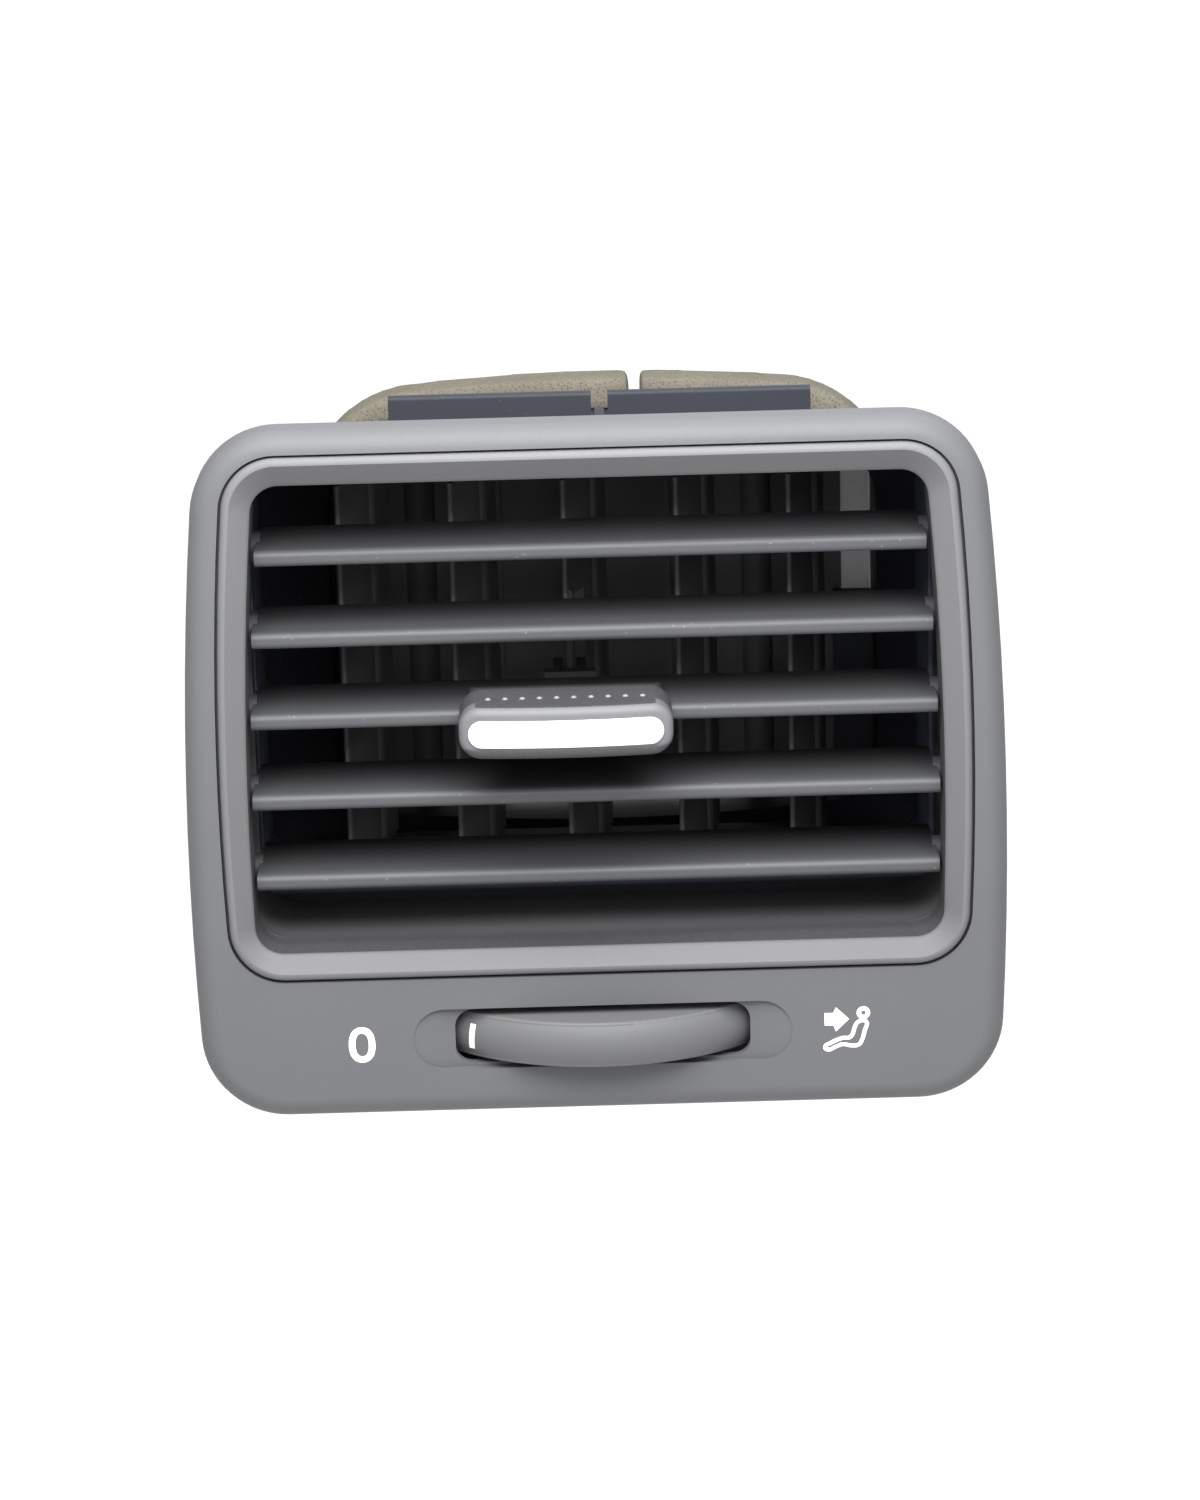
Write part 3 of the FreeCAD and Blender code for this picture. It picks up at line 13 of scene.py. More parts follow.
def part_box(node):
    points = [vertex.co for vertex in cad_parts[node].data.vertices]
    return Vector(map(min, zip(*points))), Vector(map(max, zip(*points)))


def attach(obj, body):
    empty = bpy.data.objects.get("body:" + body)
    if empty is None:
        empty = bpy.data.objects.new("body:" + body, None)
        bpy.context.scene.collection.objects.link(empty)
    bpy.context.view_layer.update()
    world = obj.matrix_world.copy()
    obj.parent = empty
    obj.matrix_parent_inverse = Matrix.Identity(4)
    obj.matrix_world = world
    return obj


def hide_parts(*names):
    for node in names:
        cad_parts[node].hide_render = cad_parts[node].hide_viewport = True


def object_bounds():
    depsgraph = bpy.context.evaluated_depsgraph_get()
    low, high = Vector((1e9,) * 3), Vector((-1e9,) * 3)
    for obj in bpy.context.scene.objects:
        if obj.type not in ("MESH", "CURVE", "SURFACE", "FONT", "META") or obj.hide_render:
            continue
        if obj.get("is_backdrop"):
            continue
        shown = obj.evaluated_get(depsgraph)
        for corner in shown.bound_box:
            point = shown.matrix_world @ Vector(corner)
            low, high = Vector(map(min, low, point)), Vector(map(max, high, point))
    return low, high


MM = 0.001
ACROSS, DEEP, UP = range(3)
MERGE_DISTANCE = 0.001 * MM
SMOOTH_ANGLE = math.radians(35.0)

# Camera
VIEW_AZIMUTH = math.radians(-0.3)
VIEW_ELEVATION = math.radians(15.0)
VIEW_ROLL = math.radians(1.5)
VIEW_DISTANCE = 650 * MM
VIEW_AIM = Vector((0, -8.0, -5.7)) * MM
LENS = 105.1
SENSOR = 36.0
SHIFT_X = 0.0027
SHIFT_Y = 0.008
NEAREST_SEEN = 0.01
FARTHEST_SEEN = 50

# Printed marks on the bezel
MARK_THICKNESS = 0.14 * MM
ZERO_PLACE = Vector((-36.4, -48.9)) * MM
ZERO_HALF_WIDTH = 1.5 * MM
ZERO_HALF_HEIGHT = 2.3 * MM
ZERO_STROKE = 1.05 * MM
ZERO_SQUARENESS = 2.3
ZERO_POINTS = 16
FIGURE_STROKE = 0.62 * MM
FIGURE_PATH = (
    (39.77, -47.4), (39.5, -48.86), (39.07, -50.33), (38.62, -51.0), (37.61, -51.15), (36.15, -50.9),
    (35.18, -51.22), (33.9, -51.69), (33.5, -51.3), (34.37, -50.64), (35.45, -50.13), (36.26, -49.89),
    (37.23, -49.84), (37.66, -49.34), (37.99, -48.29), (38.42, -47.52), (39.1, -47.2),
)
HEAD_CENTRE = (39.34, -45.98)
HEAD_RADIUS = 0.68 * MM
HEAD_STROKE = 0.7 * MM
HEAD_POINTS = 12
ARROW_OUTLINE = (
    (33.55, -45.98), (34.85, -45.98), (35.2, -45.15), (37.05, -46.9), (35.2, -48.7),
    (34.85, -47.8), (33.55, -47.8),
)
ARROW_ROUND = 0.08 * MM

# Tick on the thumbwheel
TICK_ANGLE = math.radians(-38.6)
TICK_WIDTH = 1.0 * MM
TICK_HEIGHT = 3.9 * MM
TICK_LEAN = 0.1
TICK_LIFT = 0.03 * MM
TICK_THICKNESS = 0.06 * MM
WHEEL_CROWN = 0.9 * MM
WHEEL_HALF_HEIGHT = 3.5 * MM

# Grip dots on the knob
DOT_COUNT = 10
DOT_PITCH = 2.55 * MM
DOT_RADIUS = 0.45 * MM
DOT_HEIGHT = 0.3 * MM
DOT_SETBACK = 6.2 * MM

# Grain, dust and pits of moulded plastic
GRAIN_SIZE = 0.3 * MM
GRAIN_DEPTH = 0.012 * MM
FLOW_SIZE = 26 * MM
PLASTIC_GLOSS = 0.3
DUST_SPECK = 1.3 * MM
DUST_PATCH = 5 * MM
DUST_GREY = (0.34, 0.34, 0.33)
PIT_SIZE = 0.3 * MM

# Where a finish changes over a piece: the knob's darker grip, and painted shade and light
GRIP_EDGE = 0.15 * MM
RIM_DEPTH = 4.2 * MM
RIM_FADE = 1.4 * MM
# Painted shade under the knob's insert: how far it reaches and how strong it is
UNDERSIDE_SHADE_BAND = 0.3 * MM
UNDERSIDE_SHADE_SHARE = 0.85
# Painted shade on the louvres' tops behind the nose
NOSE_BACK_Y = -0.4 * MM
NOSE_FADE = 1.0 * MM
# Painted shade in the ring's throat behind its lip
LIP_DEPTH = 3.4 * MM
LIP_FADE = 0.6 * MM
THROAT_FROM = 9.0 * MM
THROAT_TO = 16.0 * MM
# Painted shade on the vanes' faces behind their front edges
EDGE_SHADE_START = 0.4 * MM
EDGE_SHADE_FULL = 1.1 * MM
# Painted light on the duct's inner walls
INSIDE_X = 52.2 * MM
INSIDE_Y = 46.0 * MM
INSIDE_Z = 33.2 * MM
INSIDE_FADE = 0.7 * MM

# Foam round the rear duct
FOAM_VOXEL = 0.75 * MM
FOAM_LUMPS = 0.2 * MM
FOAM_LUMP_SIZE = 7.0 * MM
FOAM_BUTT_X = 8.3 * MM
LINER_WIDTH = 2.6 * MM
LINER_THICKNESS = 0.12 * MM
LINER_LIFT = 0.02 * MM
LINER_INSET = 0.2 * MM
LINER_EDGE = 0.03 * MM

# Stage
FLOOR_DROP = 250 * MM
FLOOR_SIZE = 80.0
FLOOR_WHITE = 0.97
SURROUND_STRENGTH = 0.66
KEY_PLACE = (0.0, -0.145, 0.2)
KEY_SIZE = 0.26
KEY_WATTS = 2.25
OVERHEAD_SOFTNESS = math.radians(50)
FRONT_DIRECTION = (0.0, -1.0, 0.8)
FRONT_STRENGTH = 1.3
REAR_DIRECTION = (0.4, 1.0, 1.0)
REAR_STRENGTH = 0.9


class Value:
    """A number inside a material that adds, subtracts and multiplies like any other."""

    def __init__(self, finish, socket):
        self.finish = finish
        self.socket = socket

    def calculated(self, operation, first, second):
        """The outcome of one sum on two numbers."""
        return self.finish.node("ShaderNodeMath", {"operation": operation}, {0: first, 1: second})

    def __add__(self, other):
        return self.calculated("ADD", self, other)

    def __radd__(self, other):
        return self.calculated("ADD", other, self)

    def __sub__(self, other):
        return self.calculated("SUBTRACT", self, other)

    def __rsub__(self, other):
        return self.calculated("SUBTRACT", other, self)

    def __mul__(self, other):
        return self.calculated("MULTIPLY", self, other)

    def __rmul__(self, other):
        return self.calculated("MULTIPLY", other, self)


class Finish:
    """One material, with a single method that makes every node in it."""

    def __init__(self, name):
        self.material = bpy.data.materials.new(name)
        self.material.use_nodes = True
        self.tree = self.material.node_tree
        self.shader = self.tree.nodes["Principled BSDF"]
        self.place = self.node("ShaderNodeTexCoord", output="Object")

    def node(self, kind, settings=None, inputs=None, output=0):
        """Adds a node with its settings and socket values, and gives one of its outputs."""
        made = self.tree.nodes.new(kind)
        for name, setting in (settings or {}).items():
            setattr(made, name, setting)
        for name, value in (inputs or {}).items():
            self.feed(made.inputs[name], value)
        return Value(self, made.outputs[output])

    def feed(self, socket, value):
        """Links a value to a socket, or writes a plain number or colour on it."""
        if isinstance(value, Value):
            self.tree.links.new(value.socket, socket)
        else:
            socket.default_value = value

    def shade(self, name, value):
        """Feeds one input of the finish's shader."""
        self.feed(self.shader.inputs[name], value)

    def noise(self, size, detail=2.0, roughness=0.5):
        """Soft noise whose features are about one size across."""
        return self.node("ShaderNodeTexNoise", inputs={
            "Vector": self.place, "Scale": 1 / size, "Detail": detail, "Roughness": roughness})

    def cells(self, size):
        """Distance inside cells of about one size."""
        return self.node("ShaderNodeTexVoronoi", inputs={"Vector": self.place, "Scale": 1 / size})

    def blend(self, factor, first, second):
        """A colour between two, by a factor from 0 to 1."""
        return self.node("ShaderNodeMix", {"data_type": "RGBA"}, {0: factor, 6: first, 7: second}, 2)

    def along(self, axis):
        """The place along X, Y or Z."""
        return self.node("ShaderNodeSeparateXYZ", inputs={0: self.place}, output=axis)

    def smooth(self, value, low, high):
        """A value stretched softly so that low becomes 0 and high becomes 1."""
        return self.node("ShaderNodeMapRange", {"interpolation_type": "SMOOTHSTEP"}, {
            "Value": value, "From Min": low, "From Max": high})

    def bump(self, height, depth, strength=1.0):
        """Feeds the shader's normal from a height between 0 and 1 that is depth metres deep."""
        self.shade("Normal", self.node("ShaderNodeBump", inputs={
            "Height": height, "Distance": depth, "Strength": strength}))


def colour(red, green, blue, share=1.0):
    """A colour with its alpha, scaled by a share."""
    return (red * share, green * share, blue * share, 1.0)


def moulded(name, base, roughness, mottle=0.05, dust=0.0, area=None, area_share=1.0,
            area_rough=0.0):
    """A moulded plastic with spark-eroded grain, faint mottling and, if asked, settled dust.

    An area gives part of the piece another share of its colour, used for the knob's darker grip and for
    painted shade and light, and a rougher, pitted face.
    """
    finish = Finish(name)
    fine = finish.noise(GRAIN_SIZE, 3.0, 0.6)
    coarse = finish.noise(4 * GRAIN_SIZE, 2.0)
    flow = finish.noise(FLOW_SIZE, 3.0)
    tone = finish.blend(flow, colour(*base, 1 - mottle), colour(*base, 1 + mottle))
    tone = finish.blend(finish.smooth(fine, 0.35, 0.75) * 0.25, tone, colour(*base, 0.8))
    if dust:
        specks = finish.smooth(finish.cells(DUST_SPECK), 0.16, 0.05)
        sown = finish.smooth(finish.noise(DUST_PATCH, 2.0), 0.5, 0.62)
        tone = finish.blend(specks * sown * dust, tone, colour(*DUST_GREY))
    dull = roughness + (flow - 0.5) * 0.1 + (fine - 0.5) * 0.12
    if area:
        inside = area(finish)
        pits = finish.smooth(finish.cells(PIT_SIZE), 0.2, 0.6)
        tone = finish.blend(inside * (0.8 + pits * 0.2), tone, colour(*base, area_share))
        dull = dull + inside * area_rough
    finish.shade("Base Color", tone)
    finish.shade("Roughness", dull)
    finish.shade("Specular IOR Level", PLASTIC_GLOSS)
    finish.bump(fine * 0.7 + coarse * 0.3, GRAIN_DEPTH, 0.7)
    return finish.material


def grip_and_underside_shade(finish):
    """The knob's dark grip on its top flat and all behind its rim, and painted shade on part of its
    underside.
    """
    low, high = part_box("knob_body")
    up = finish.along(UP)
    flat = finish.smooth(up, high.z - GRIP_EDGE, high.z - GRIP_EDGE / 3)
    back = finish.smooth(finish.along(DEEP), low.y + RIM_DEPTH, low.y + RIM_DEPTH + RIM_FADE)
    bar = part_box("knob_insert")[0].z
    # Painted shade: the knob's underside just below its insert is darkened as if in shadow.
    shaded_under = finish.smooth(up, bar + UNDERSIDE_SHADE_BAND / 2, bar - 2 * UNDERSIDE_SHADE_BAND)
    return 1 - (1 - flat) * (1 - back) * (1 - shaded_under * UNDERSIDE_SHADE_SHARE)


def throat_painted_shade(finish):
    """Painted shade on the front of the ring's throat, behind its sloping lip."""
    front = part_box("vent_frame")[0].y
    deep = finish.along(DEEP)
    start = finish.smooth(deep, front + LIP_DEPTH - LIP_FADE, front + LIP_DEPTH + LIP_FADE)
    return start * finish.smooth(deep, front + THROAT_TO, front + THROAT_FROM)


def louvre_top_painted_shade(finish):
    """Painted shade on a louvre's faces behind its nose, where the louvre above keeps the light off;
    the nose keeps the lighter colour.
    """
    return finish.smooth(finish.along(DEEP), NOSE_BACK_Y - NOSE_FADE, NOSE_BACK_Y + NOSE_FADE)


def vane_face_painted_shade(finish):
    """Painted shade on a vane's faces behind its front edge, which keeps the lighter colour."""
    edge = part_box("vane_3")[0].y
    return finish.smooth(finish.along(DEEP), edge + EDGE_SHADE_START, edge + EDGE_SHADE_FULL)


def duct_inside_painted_light(finish):
    """Painted light on the duct's inner walls in front of its taper."""
    across, deep, up = (finish.along(axis) for axis in (ACROSS, DEEP, UP))
    width = finish.smooth(across * across, (INSIDE_X + INSIDE_FADE) ** 2, INSIDE_X ** 2)
    height = finish.smooth(up * up, (INSIDE_Z + INSIDE_FADE) ** 2, INSIDE_Z ** 2)
    return width * height * finish.smooth(deep, INSIDE_Y + INSIDE_FADE, INSIDE_Y)


def glowing_insert(name):
    """The milky white plastic of the knob's insert, with a faint painted glow."""
    finish = Finish(name)
    depth = finish.noise(3 * MM, 2.0)
    finish.shade("Base Color", finish.blend(depth, colour(0.93, 0.93, 0.92), colour(0.97, 0.97, 0.97)))
    finish.shade("Roughness", 0.3 + depth * 0.12)
    finish.shade("Coat Weight", 0.25 + depth * 0.1)
    # Painted glow: the insert gives off light though it is no lamp.
    finish.shade("Emission Color", finish.blend(depth, colour(0.9, 0.9, 0.9), colour(1, 1, 1)))
    finish.shade("Emission Strength", 0.12)
    finish.bump(finish.noise(0.5 * MM), 0.004 * MM, 0.3)
    return finish.material


def print_ink(name):
    """White pad-printed ink, a little uneven in thickness."""
    finish = Finish(name)
    patch = finish.noise(0.8 * MM, 3.0)
    finish.shade("Base Color", finish.blend(patch, colour(0.9, 0.9, 0.9), colour(0.98, 0.98, 0.97)))
    finish.shade("Roughness", 0.45 + patch * 0.15)
    finish.bump(finish.noise(0.2 * MM, 2.0), 0.01 * MM, 0.5)
    return finish.material


def open_foam(name):
    """Beige open-cell foam: pores, torn cell walls and handling marks."""
    finish = Finish(name)
    pores = finish.cells(0.5 * MM)
    small = finish.cells(0.25 * MM)
    soil = finish.noise(11 * MM, 4.0, 0.6)
    tone = finish.blend(soil, colour(0.098, 0.087, 0.066), colour(0.158, 0.146, 0.12))
    tone = finish.blend(finish.smooth(pores, 0.1, 0.45), colour(0.072, 0.063, 0.046), tone)
    finish.shade("Base Color", tone)
    finish.shade("Roughness", 0.85 + soil * 0.12)
    finish.shade("Specular IOR Level", 0.2)
    finish.bump(pores * 0.7 + small * 0.3, 0.2 * MM, 0.6)
    return finish.material


def glowing_felt(name):
    """Grey needled felt: short crossed fibres, a soft, dull face and a faint painted glow as if lit
    through from behind.
    """
    finish = Finish(name)
    fibre = finish.noise(0.22 * MM, 4.0, 0.75)
    cloud = finish.noise(4 * MM, 2.0)
    tone = finish.blend(cloud, colour(0.4, 0.405, 0.42), colour(0.5, 0.505, 0.52))
    tone = finish.blend(finish.smooth(fibre, 0.4, 0.7) * 0.5, tone, colour(0.6, 0.6, 0.61))
    finish.shade("Base Color", tone)
    # Painted light: the felt gives off a faint glow though it is no lamp.
    finish.shade("Emission Color", tone)
    finish.shade("Emission Strength", 0.09)
    finish.shade("Roughness", 0.9 + cloud * 0.08)
    finish.shade("Specular IOR Level", 0.15)
    finish.bump(fibre, 0.06 * MM, 0.8)
    return finish.material


def paper_liner(name):
    """The pale backing of the foam, seen in its butt gap."""
    finish = Finish(name)
    fibre = finish.noise(0.6 * MM, 4.0, 0.7)
    finish.shade("Base Color", finish.blend(fibre, colour(0.86, 0.86, 0.84), colour(0.95, 0.95, 0.94)))
    finish.shade("Roughness", 0.6 + fibre * 0.2)
    finish.bump(fibre, 0.02 * MM, 0.5)
    return finish.material


def plated_steel(name):
    """Zinc-plated steel with faint turning marks."""
    finish = Finish(name)
    turned = finish.noise(0.25 * MM, 2.0)
    cloud = finish.noise(3 * MM, 3.0)
    finish.shade("Base Color", finish.blend(cloud, colour(0.46, 0.46, 0.45), colour(0.64, 0.64, 0.62)))
    finish.shade("Metallic", 1.0)
    finish.shade("Roughness", 0.3 + cloud * 0.16 + turned * 0.1)
    finish.bump(turned, 0.01 * MM, 0.5)
    return finish.material


def only(piece):
    """Selects one object and makes it the active one."""
    bpy.ops.object.select_all(action="DESELECT")
    piece.select_set(True)
    bpy.context.view_layer.objects.active = piece


def as_mesh(piece):
    """Turns a curve into a mesh."""
    only(piece)
    bpy.ops.object.convert(target="MESH")
    return bpy.context.view_layer.objects.active


def settled(piece):
    """Applies an object's place, turn and scale to its mesh."""
    only(piece)
    bpy.ops.object.transform_apply(location=True, rotation=True, scale=True)
    return piece


def with_modifier(piece, kind, **settings):
    """Adds one modifier, sets it and applies it."""
    only(piece)
    modifier = piece.modifiers.new(kind.lower(), kind)
    for name, value in settings.items():
        setattr(modifier, name, value)
    bpy.ops.object.modifier_apply(modifier=modifier.name)
    return piece


def merged(pieces):
    """Several meshes as one."""
    bpy.ops.object.select_all(action="DESELECT")
    for piece in pieces:
        piece.select_set(True)
    bpy.context.view_layer.objects.active = pieces[0]
    bpy.ops.object.join()
    return pieces[0]


def outward(piece):
    """Merges doubles and turns every face outwards."""
    only(piece)
    bpy.ops.object.mode_set(mode="EDIT")
    bpy.ops.mesh.select_all(action="SELECT")
    bpy.ops.mesh.remove_doubles(threshold=MERGE_DISTANCE)
    bpy.ops.mesh.normals_make_consistent(inside=False)
    bpy.ops.object.mode_set(mode="OBJECT")
    return piece


def dressed(piece, name, material, body):
    """Names a finished mesh, gives it its material and lets it ride on a body."""
    piece.name = name
    piece.data.name = name
    piece.data.materials.clear()
    piece.data.materials.append(material)
    only(piece)
    bpy.ops.object.shade_smooth_by_angle(angle=SMOOTH_ANGLE)
    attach(piece, body)
    return piece


def printed_line(points, width):
    """A closed printed line through points of the bezel's face, flat and with round edges."""
    curve = bpy.data.curves.new("line", "CURVE")
    curve.dimensions = "3D"
    curve.resolution_u = 6
    curve.bevel_depth = width / 2
    curve.bevel_resolution = 3
    spline = curve.splines.new("BEZIER")
    spline.bezier_points.add(len(points) - 1)
    spline.use_cyclic_u = True
    for knot, (x, z) in zip(spline.bezier_points, points):
        knot.co = (x, 0, z)
        knot.handle_left_type = knot.handle_right_type = "AUTO"
    piece = bpy.data.objects.new("line", curve)
    bpy.context.scene.collection.objects.link(piece)
    piece = as_mesh(piece)
    piece.scale.y = MARK_THICKNESS / width
    piece.location.y = BEZEL_FACE_Y
    return settled(piece)


def printed_patch(points, rounding):
    """A filled printed shape on the bezel's face."""
    curve = bpy.data.curves.new("patch", "CURVE")
    curve.dimensions = "2D"
    curve.fill_mode = "BOTH"
    curve.extrude = MARK_THICKNESS / 4
    curve.bevel_depth = MARK_THICKNESS / 4
    curve.bevel_resolution = 2
    curve.offset = rounding - MARK_THICKNESS / 4
    spline = curve.splines.new("POLY")
    spline.points.add(len(points) - 1)
    spline.use_cyclic_u = True
    for knot, (x, z) in zip(spline.points, points):
        knot.co = (x, z, 0, 1)
    piece = bpy.data.objects.new("patch", curve)
    bpy.context.scene.collection.objects.link(piece)
    piece = as_mesh(piece)
    piece.rotation_euler.x = math.radians(90)
    piece.location.y = BEZEL_FACE_Y
    return outward(settled(piece))


def oval(centre, half_width, half_height, count, squareness=2.0):
    """Points on an oval whose sides flatten as its squareness grows."""
    points = []
    for step in range(count):
        angle = 2 * math.pi * step / count
        cosine, sine = math.cos(angle), math.sin(angle)
        x = math.copysign(abs(cosine) ** (2 / squareness), cosine)
        z = math.copysign(abs(sine) ** (2 / squareness), sine)
        points.append((centre[0] + half_width * x, centre[1] + half_height * z))
    return points


def in_metres(points):
    """Points given in millimetres, in metres."""
    return [(x * MM, z * MM) for x, z in points]


def wheel_tick(centre, radius):
    """The white tick printed on the thumbwheel's crowned rim."""
    bpy.ops.object.select_all(action="DESELECT")
    bpy.ops.mesh.primitive_grid_add(x_subdivisions=6, y_subdivisions=16, size=1)
    piece = bpy.context.object
    crown_radius = (WHEEL_HALF_HEIGHT ** 2 + WHEEL_CROWN ** 2) / (2 * WHEEL_CROWN)
    for vertex in piece.data.vertices:
        z = vertex.co.y * TICK_HEIGHT
        angle = TICK_ANGLE + (vertex.co.x * TICK_WIDTH + z * TICK_LEAN) / radius
        fall = crown_radius - math.sqrt(crown_radius ** 2 - z ** 2)
        reach = radius - fall + TICK_LIFT
        vertex.co = (centre.x + reach * math.sin(angle), centre.y - reach * math.cos(angle),
                     centre.z + z)
    piece = with_modifier(piece, "SOLIDIFY", thickness=TICK_THICKNESS, offset=0)
    return outward(piece)


def grip_dots(centre_x, y, z):
    """The row of small raised dots on top of the knob."""
    dots = []
    for place in range(DOT_COUNT):
        x = centre_x + (place - (DOT_COUNT - 1) / 2) * DOT_PITCH
        bpy.ops.object.select_all(action="DESELECT")
        bpy.ops.mesh.primitive_uv_sphere_add(segments=16, ring_count=10, radius=DOT_RADIUS,
                                             location=(x, y, z))
        dot = bpy.context.object
        dot.scale.z = DOT_HEIGHT / DOT_RADIUS
        dots.append(settled(dot))
    return merged(dots)


def soft_foam(node):
    """The foam strip with rounded, slightly lumpy sides, made from the plain strip."""
    piece = bpy.data.objects.new("foam", node.data.copy())
    bpy.context.scene.collection.objects.link(piece)
    outward(piece)
    with_modifier(piece, "REMESH", mode="VOXEL", voxel_size=FOAM_VOXEL, use_smooth_shade=True)
    with_modifier(piece, "SMOOTH", factor=0.5, iterations=4)
    lumps = bpy.data.textures.new("lumps", "CLOUDS")
    lumps.noise_scale = FOAM_LUMP_SIZE
    with_modifier(piece, "DISPLACE", texture=lumps, strength=FOAM_LUMPS, mid_level=0.75)
    return piece


def foam_liner():
    """The strip of pale backing seen between the foam's two ends."""
    low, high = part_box("collar_foam")
    middle_y = (low.y + high.y) / 2
    shell = frame["nodes"]["duct_shell"]
    _, point, _, _ = shell.ray_cast(Vector((FOAM_BUTT_X, middle_y, high.z + 1)), Vector((0, 0, -1)))
    bpy.ops.object.select_all(action="DESELECT")
    place = (FOAM_BUTT_X, middle_y, point.z + LINER_THICKNESS / 2 + LINER_LIFT)
    bpy.ops.mesh.primitive_cube_add(size=1, location=place)
    piece = bpy.context.object
    piece.scale = (LINER_WIDTH, (high.y - low.y) - 2 * LINER_INSET, LINER_THICKNESS)
    settled(piece)
    return with_modifier(piece, "BEVEL", width=LINER_EDGE, segments=2)


def area_light(name, place, size, watts):
    """A soft light that points at the object."""
    light = bpy.data.lights.new(name, "AREA")
    light.size = size
    light.energy = watts
    lamp = bpy.data.objects.new(name, light)
    bpy.context.scene.collection.objects.link(lamp)
    lamp.location = place
    lamp.rotation_mode = "QUATERNION"
    lamp.rotation_quaternion = (Vector(place) - VIEW_AIM).to_track_quat("Z", "Y")
    lamp.visible_camera = False


def overhead_light(name, direction, strength):
    """A broad, even light that comes from one direction."""
    light = bpy.data.lights.new(name, "SUN")
    light.angle = OVERHEAD_SOFTNESS
    light.energy = strength
    lamp = bpy.data.objects.new(name, light)
    bpy.context.scene.collection.objects.link(lamp)
    lamp.rotation_mode = "QUATERNION"
    lamp.rotation_quaternion = Vector(direction).to_track_quat("Z", "Y")


def studio(floor_z):
    """A pale floor well below, a bright surround and soft lights from above."""
    bpy.ops.object.select_all(action="DESELECT")
    bpy.ops.mesh.primitive_plane_add(size=FLOOR_SIZE, location=(0, 0, floor_z))
    floor = bpy.context.object
    floor.name = "floor"
    finish = Finish("floor_white")
    finish.shade("Base Color", colour(1, 1, 1, FLOOR_WHITE))
    finish.shade("Roughness", 0.9)
    floor.data.materials.append(finish.material)
    floor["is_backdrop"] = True
    world = bpy.data.worlds.new("surround")
    world.use_nodes = True
    backdrop = world.node_tree.nodes["Background"]
    backdrop.inputs["Color"].default_value = (1, 1, 1, 1)
    backdrop.inputs["Strength"].default_value = SURROUND_STRENGTH
    bpy.context.scene.world = world
    area_light("key", KEY_PLACE, KEY_SIZE, KEY_WATTS)
    overhead_light("front", FRONT_DIRECTION, FRONT_STRENGTH)
    overhead_light("rear", REAR_DIRECTION, REAR_STRENGTH)
    bpy.context.scene.view_settings.view_transform = "Standard"


def camera():
    """The camera at the photograph's viewing angle, with its slight roll."""
    back = Vector((math.sin(VIEW_AZIMUTH) * math.cos(VIEW_ELEVATION),
                   -math.cos(VIEW_AZIMUTH) * math.cos(VIEW_ELEVATION), math.sin(VIEW_ELEVATION)))
    eye = bpy.data.cameras.new("camera")
    eye.lens = LENS
    eye.sensor_width = SENSOR
    eye.shift_x = SHIFT_X
    eye.shift_y = SHIFT_Y
    eye.clip_start = NEAREST_SEEN
    eye.clip_end = FARTHEST_SEEN
    seen = bpy.data.objects.new("camera", eye)
    bpy.context.scene.collection.objects.link(seen)
    seen.location = VIEW_AIM + back * VIEW_DISTANCE
    seen.rotation_mode = "QUATERNION"
    seen.rotation_quaternion = back.to_track_quat("Z", "Y") @ Quaternion((0, 0, 1), -VIEW_ROLL)
    bpy.context.scene.camera = seen


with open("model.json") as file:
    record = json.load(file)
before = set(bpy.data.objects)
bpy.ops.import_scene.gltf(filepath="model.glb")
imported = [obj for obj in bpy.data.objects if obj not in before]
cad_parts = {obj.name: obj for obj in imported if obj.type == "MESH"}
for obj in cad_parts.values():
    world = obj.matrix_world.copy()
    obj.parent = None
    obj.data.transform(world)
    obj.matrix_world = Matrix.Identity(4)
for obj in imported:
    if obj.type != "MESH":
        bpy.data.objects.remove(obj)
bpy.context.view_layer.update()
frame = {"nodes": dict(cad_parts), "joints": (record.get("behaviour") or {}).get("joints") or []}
BEZEL_FACE_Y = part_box("front_bezel")[0].y

trim = moulded("trim_grey", (0.095, 0.0965, 0.102), 0.58)
# Painted shade darkens the ring's throat behind its lip.
ring = moulded("frame_grey", (0.125, 0.126, 0.131), 0.6, area=throat_painted_shade, area_share=0.34)
# Painted shade darkens the louvres behind their noses; the specks are settled dust.
blade = moulded("louvre_grey", (0.062, 0.063, 0.067), 0.5, dust=0.3, area=louvre_top_painted_shade,
                area_share=0.74, area_rough=0.1)
# The knob's grip is a darker second tone; its underside gets painted shade.
knob = moulded("knob_grey", (0.12, 0.121, 0.127), 0.48, area=grip_and_underside_shade, area_share=0.3,
               area_rough=0.3)
dot = moulded("dot_grey", (0.2, 0.201, 0.207), 0.35)
wheel = moulded("wheel_grey", (0.102, 0.103, 0.107), 0.55)
# Painted light makes the duct's inner walls several times lighter; the specks are settled dust.
duct = moulded("duct_black", (0.018, 0.02, 0.028), 0.62, mottle=0.12, dust=0.12,
               area=duct_inside_painted_light, area_share=6.5)
# Painted shade darkens the vanes behind their front edges; the specks are settled dust.
vane = moulded("vane_black", (0.14, 0.141, 0.148), 0.55, mottle=0.1, dust=0.3, area=vane_face_painted_shade,
               area_share=0.7)
leaf = moulded("leaf_black", (0.1, 0.101, 0.107), 0.55, mottle=0.1, dust=0.1)
link = moulded("link_plastic", (0.085, 0.086, 0.09), 0.55, mottle=0.1)
# The insert's material carries a painted glow.
insert = glowing_insert("insert_white")
ink = print_ink("mark_ink")
foam = open_foam("collar_foam")
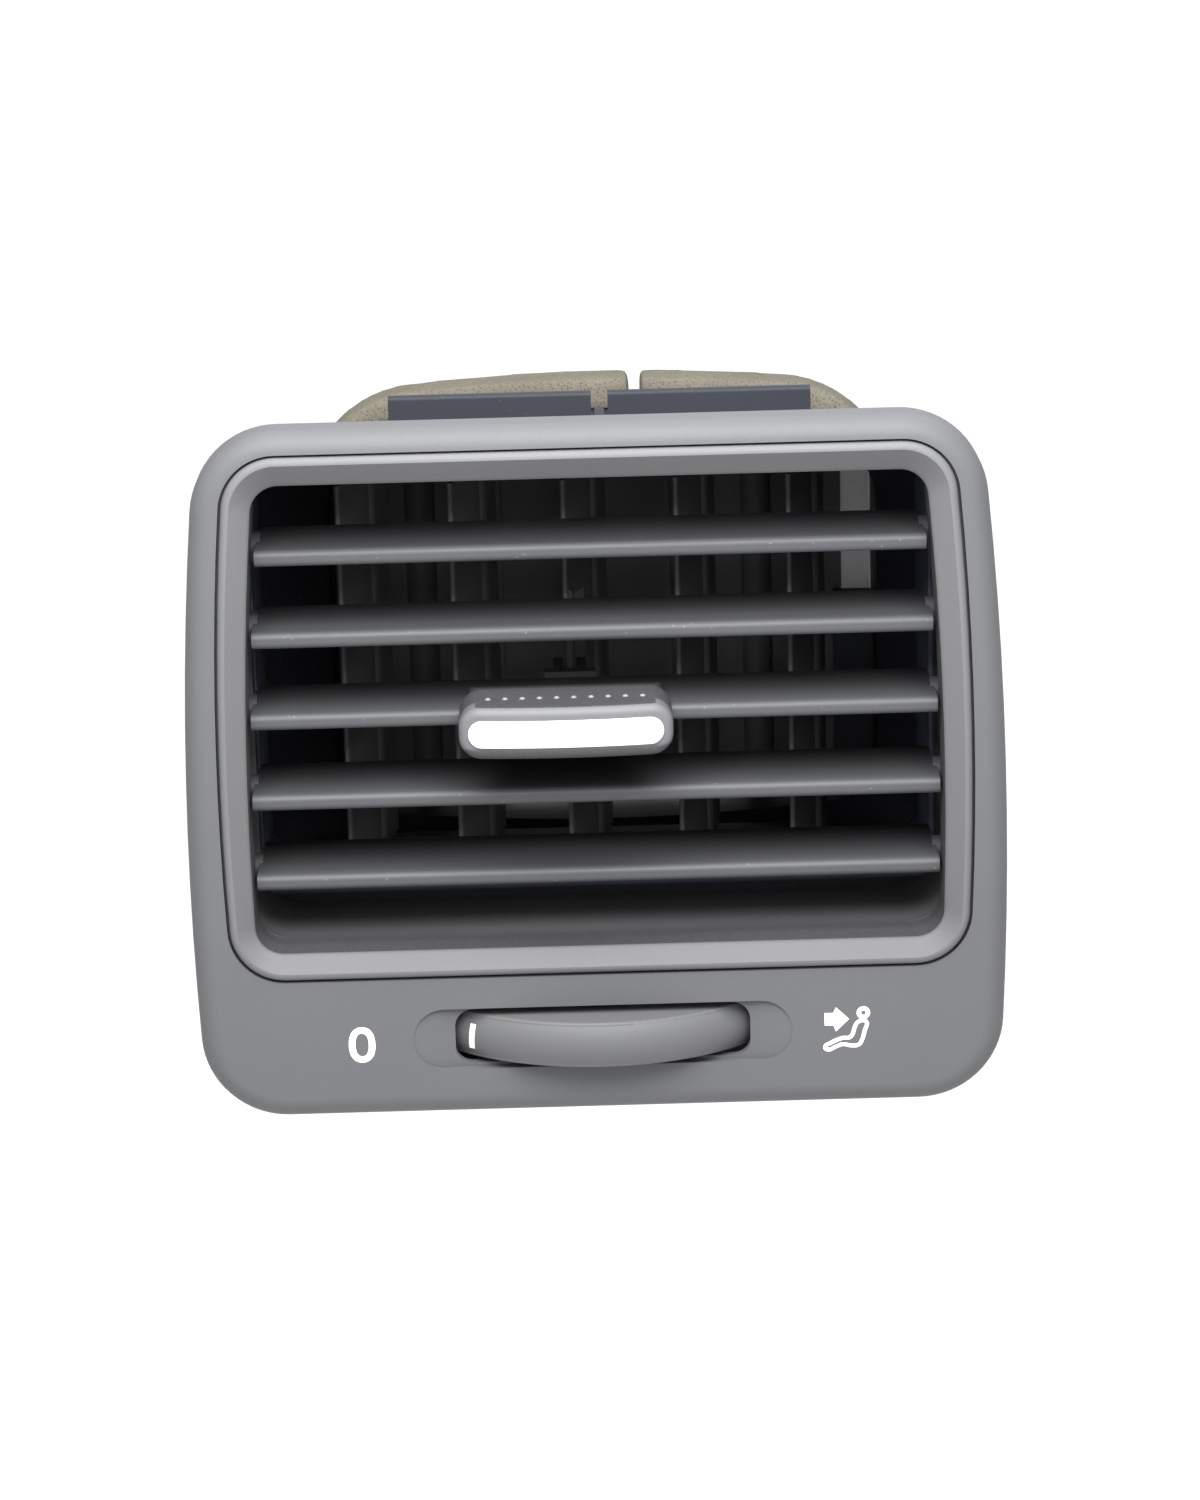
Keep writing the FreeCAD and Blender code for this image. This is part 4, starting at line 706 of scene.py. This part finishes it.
# The felt's material carries a painted glow.
seal = glowing_felt("seal_felt")
steel = plated_steel("steel")

FINISHES = (
    ("front_bezel", trim), ("vent_frame", ring), ("louvre_tie_bar", link), ("louvre_", blade),
    ("knob_body", knob), ("knob_insert", insert), ("knob_fork", link), ("vane_tie_bar", link),
    ("vane_rail", duct), ("vane_", vane), ("duct_shell", duct), ("collar_foam", foam),
    ("leaf_seal", seal), ("shutter_leaf", leaf), ("shutter_", link), ("link_rod", link),
    ("thumbwheel", wheel), ("wheel_bracket", duct), ("wheel_", steel), ("bezel_screws", steel),
)
for name, node in frame["nodes"].items():
    node.data.materials.clear()
    node.data.materials.append(next(material for start, material in FINISHES if name.startswith(start)))

zero = printed_line(oval(ZERO_PLACE, ZERO_HALF_WIDTH, ZERO_HALF_HEIGHT, ZERO_POINTS, ZERO_SQUARENESS),
                    ZERO_STROKE)
dressed(zero, "mark_zero", ink, "housing")
head_centre = in_metres([HEAD_CENTRE])[0]
airflow = merged([
    printed_line(in_metres(FIGURE_PATH), FIGURE_STROKE),
    printed_line(oval(head_centre, HEAD_RADIUS, HEAD_RADIUS, HEAD_POINTS), HEAD_STROKE),
    printed_patch(in_metres(ARROW_OUTLINE), ARROW_ROUND),
])
dressed(airflow, "mark_airflow", ink, "housing")

wheel_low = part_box("thumbwheel")[0]
wheel_joint = next(joint for joint in frame["joints"] if joint["name"] == "wheel_turn")
wheel_centre = Vector(wheel_joint["pos_m"])
tick = wheel_tick(wheel_centre, wheel_centre.y - wheel_low.y)
dressed(tick, "wheel_tick", ink, "thumbwheel")

knob_low, knob_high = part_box("knob_body")
dots = grip_dots((knob_low.x + knob_high.x) / 2, knob_low.y + DOT_SETBACK, knob_high.z)
dressed(dots, "knob_dots", dot, "knob")

strip = soft_foam(frame["nodes"]["collar_foam"])
dressed(strip, "foam_strip", foam, "housing")
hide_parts("collar_foam")
liner = foam_liner()
dressed(liner, "foam_liner", paper_liner("liner_paper"), "housing")

studio(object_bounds()[0].z - FLOOR_DROP)
camera()
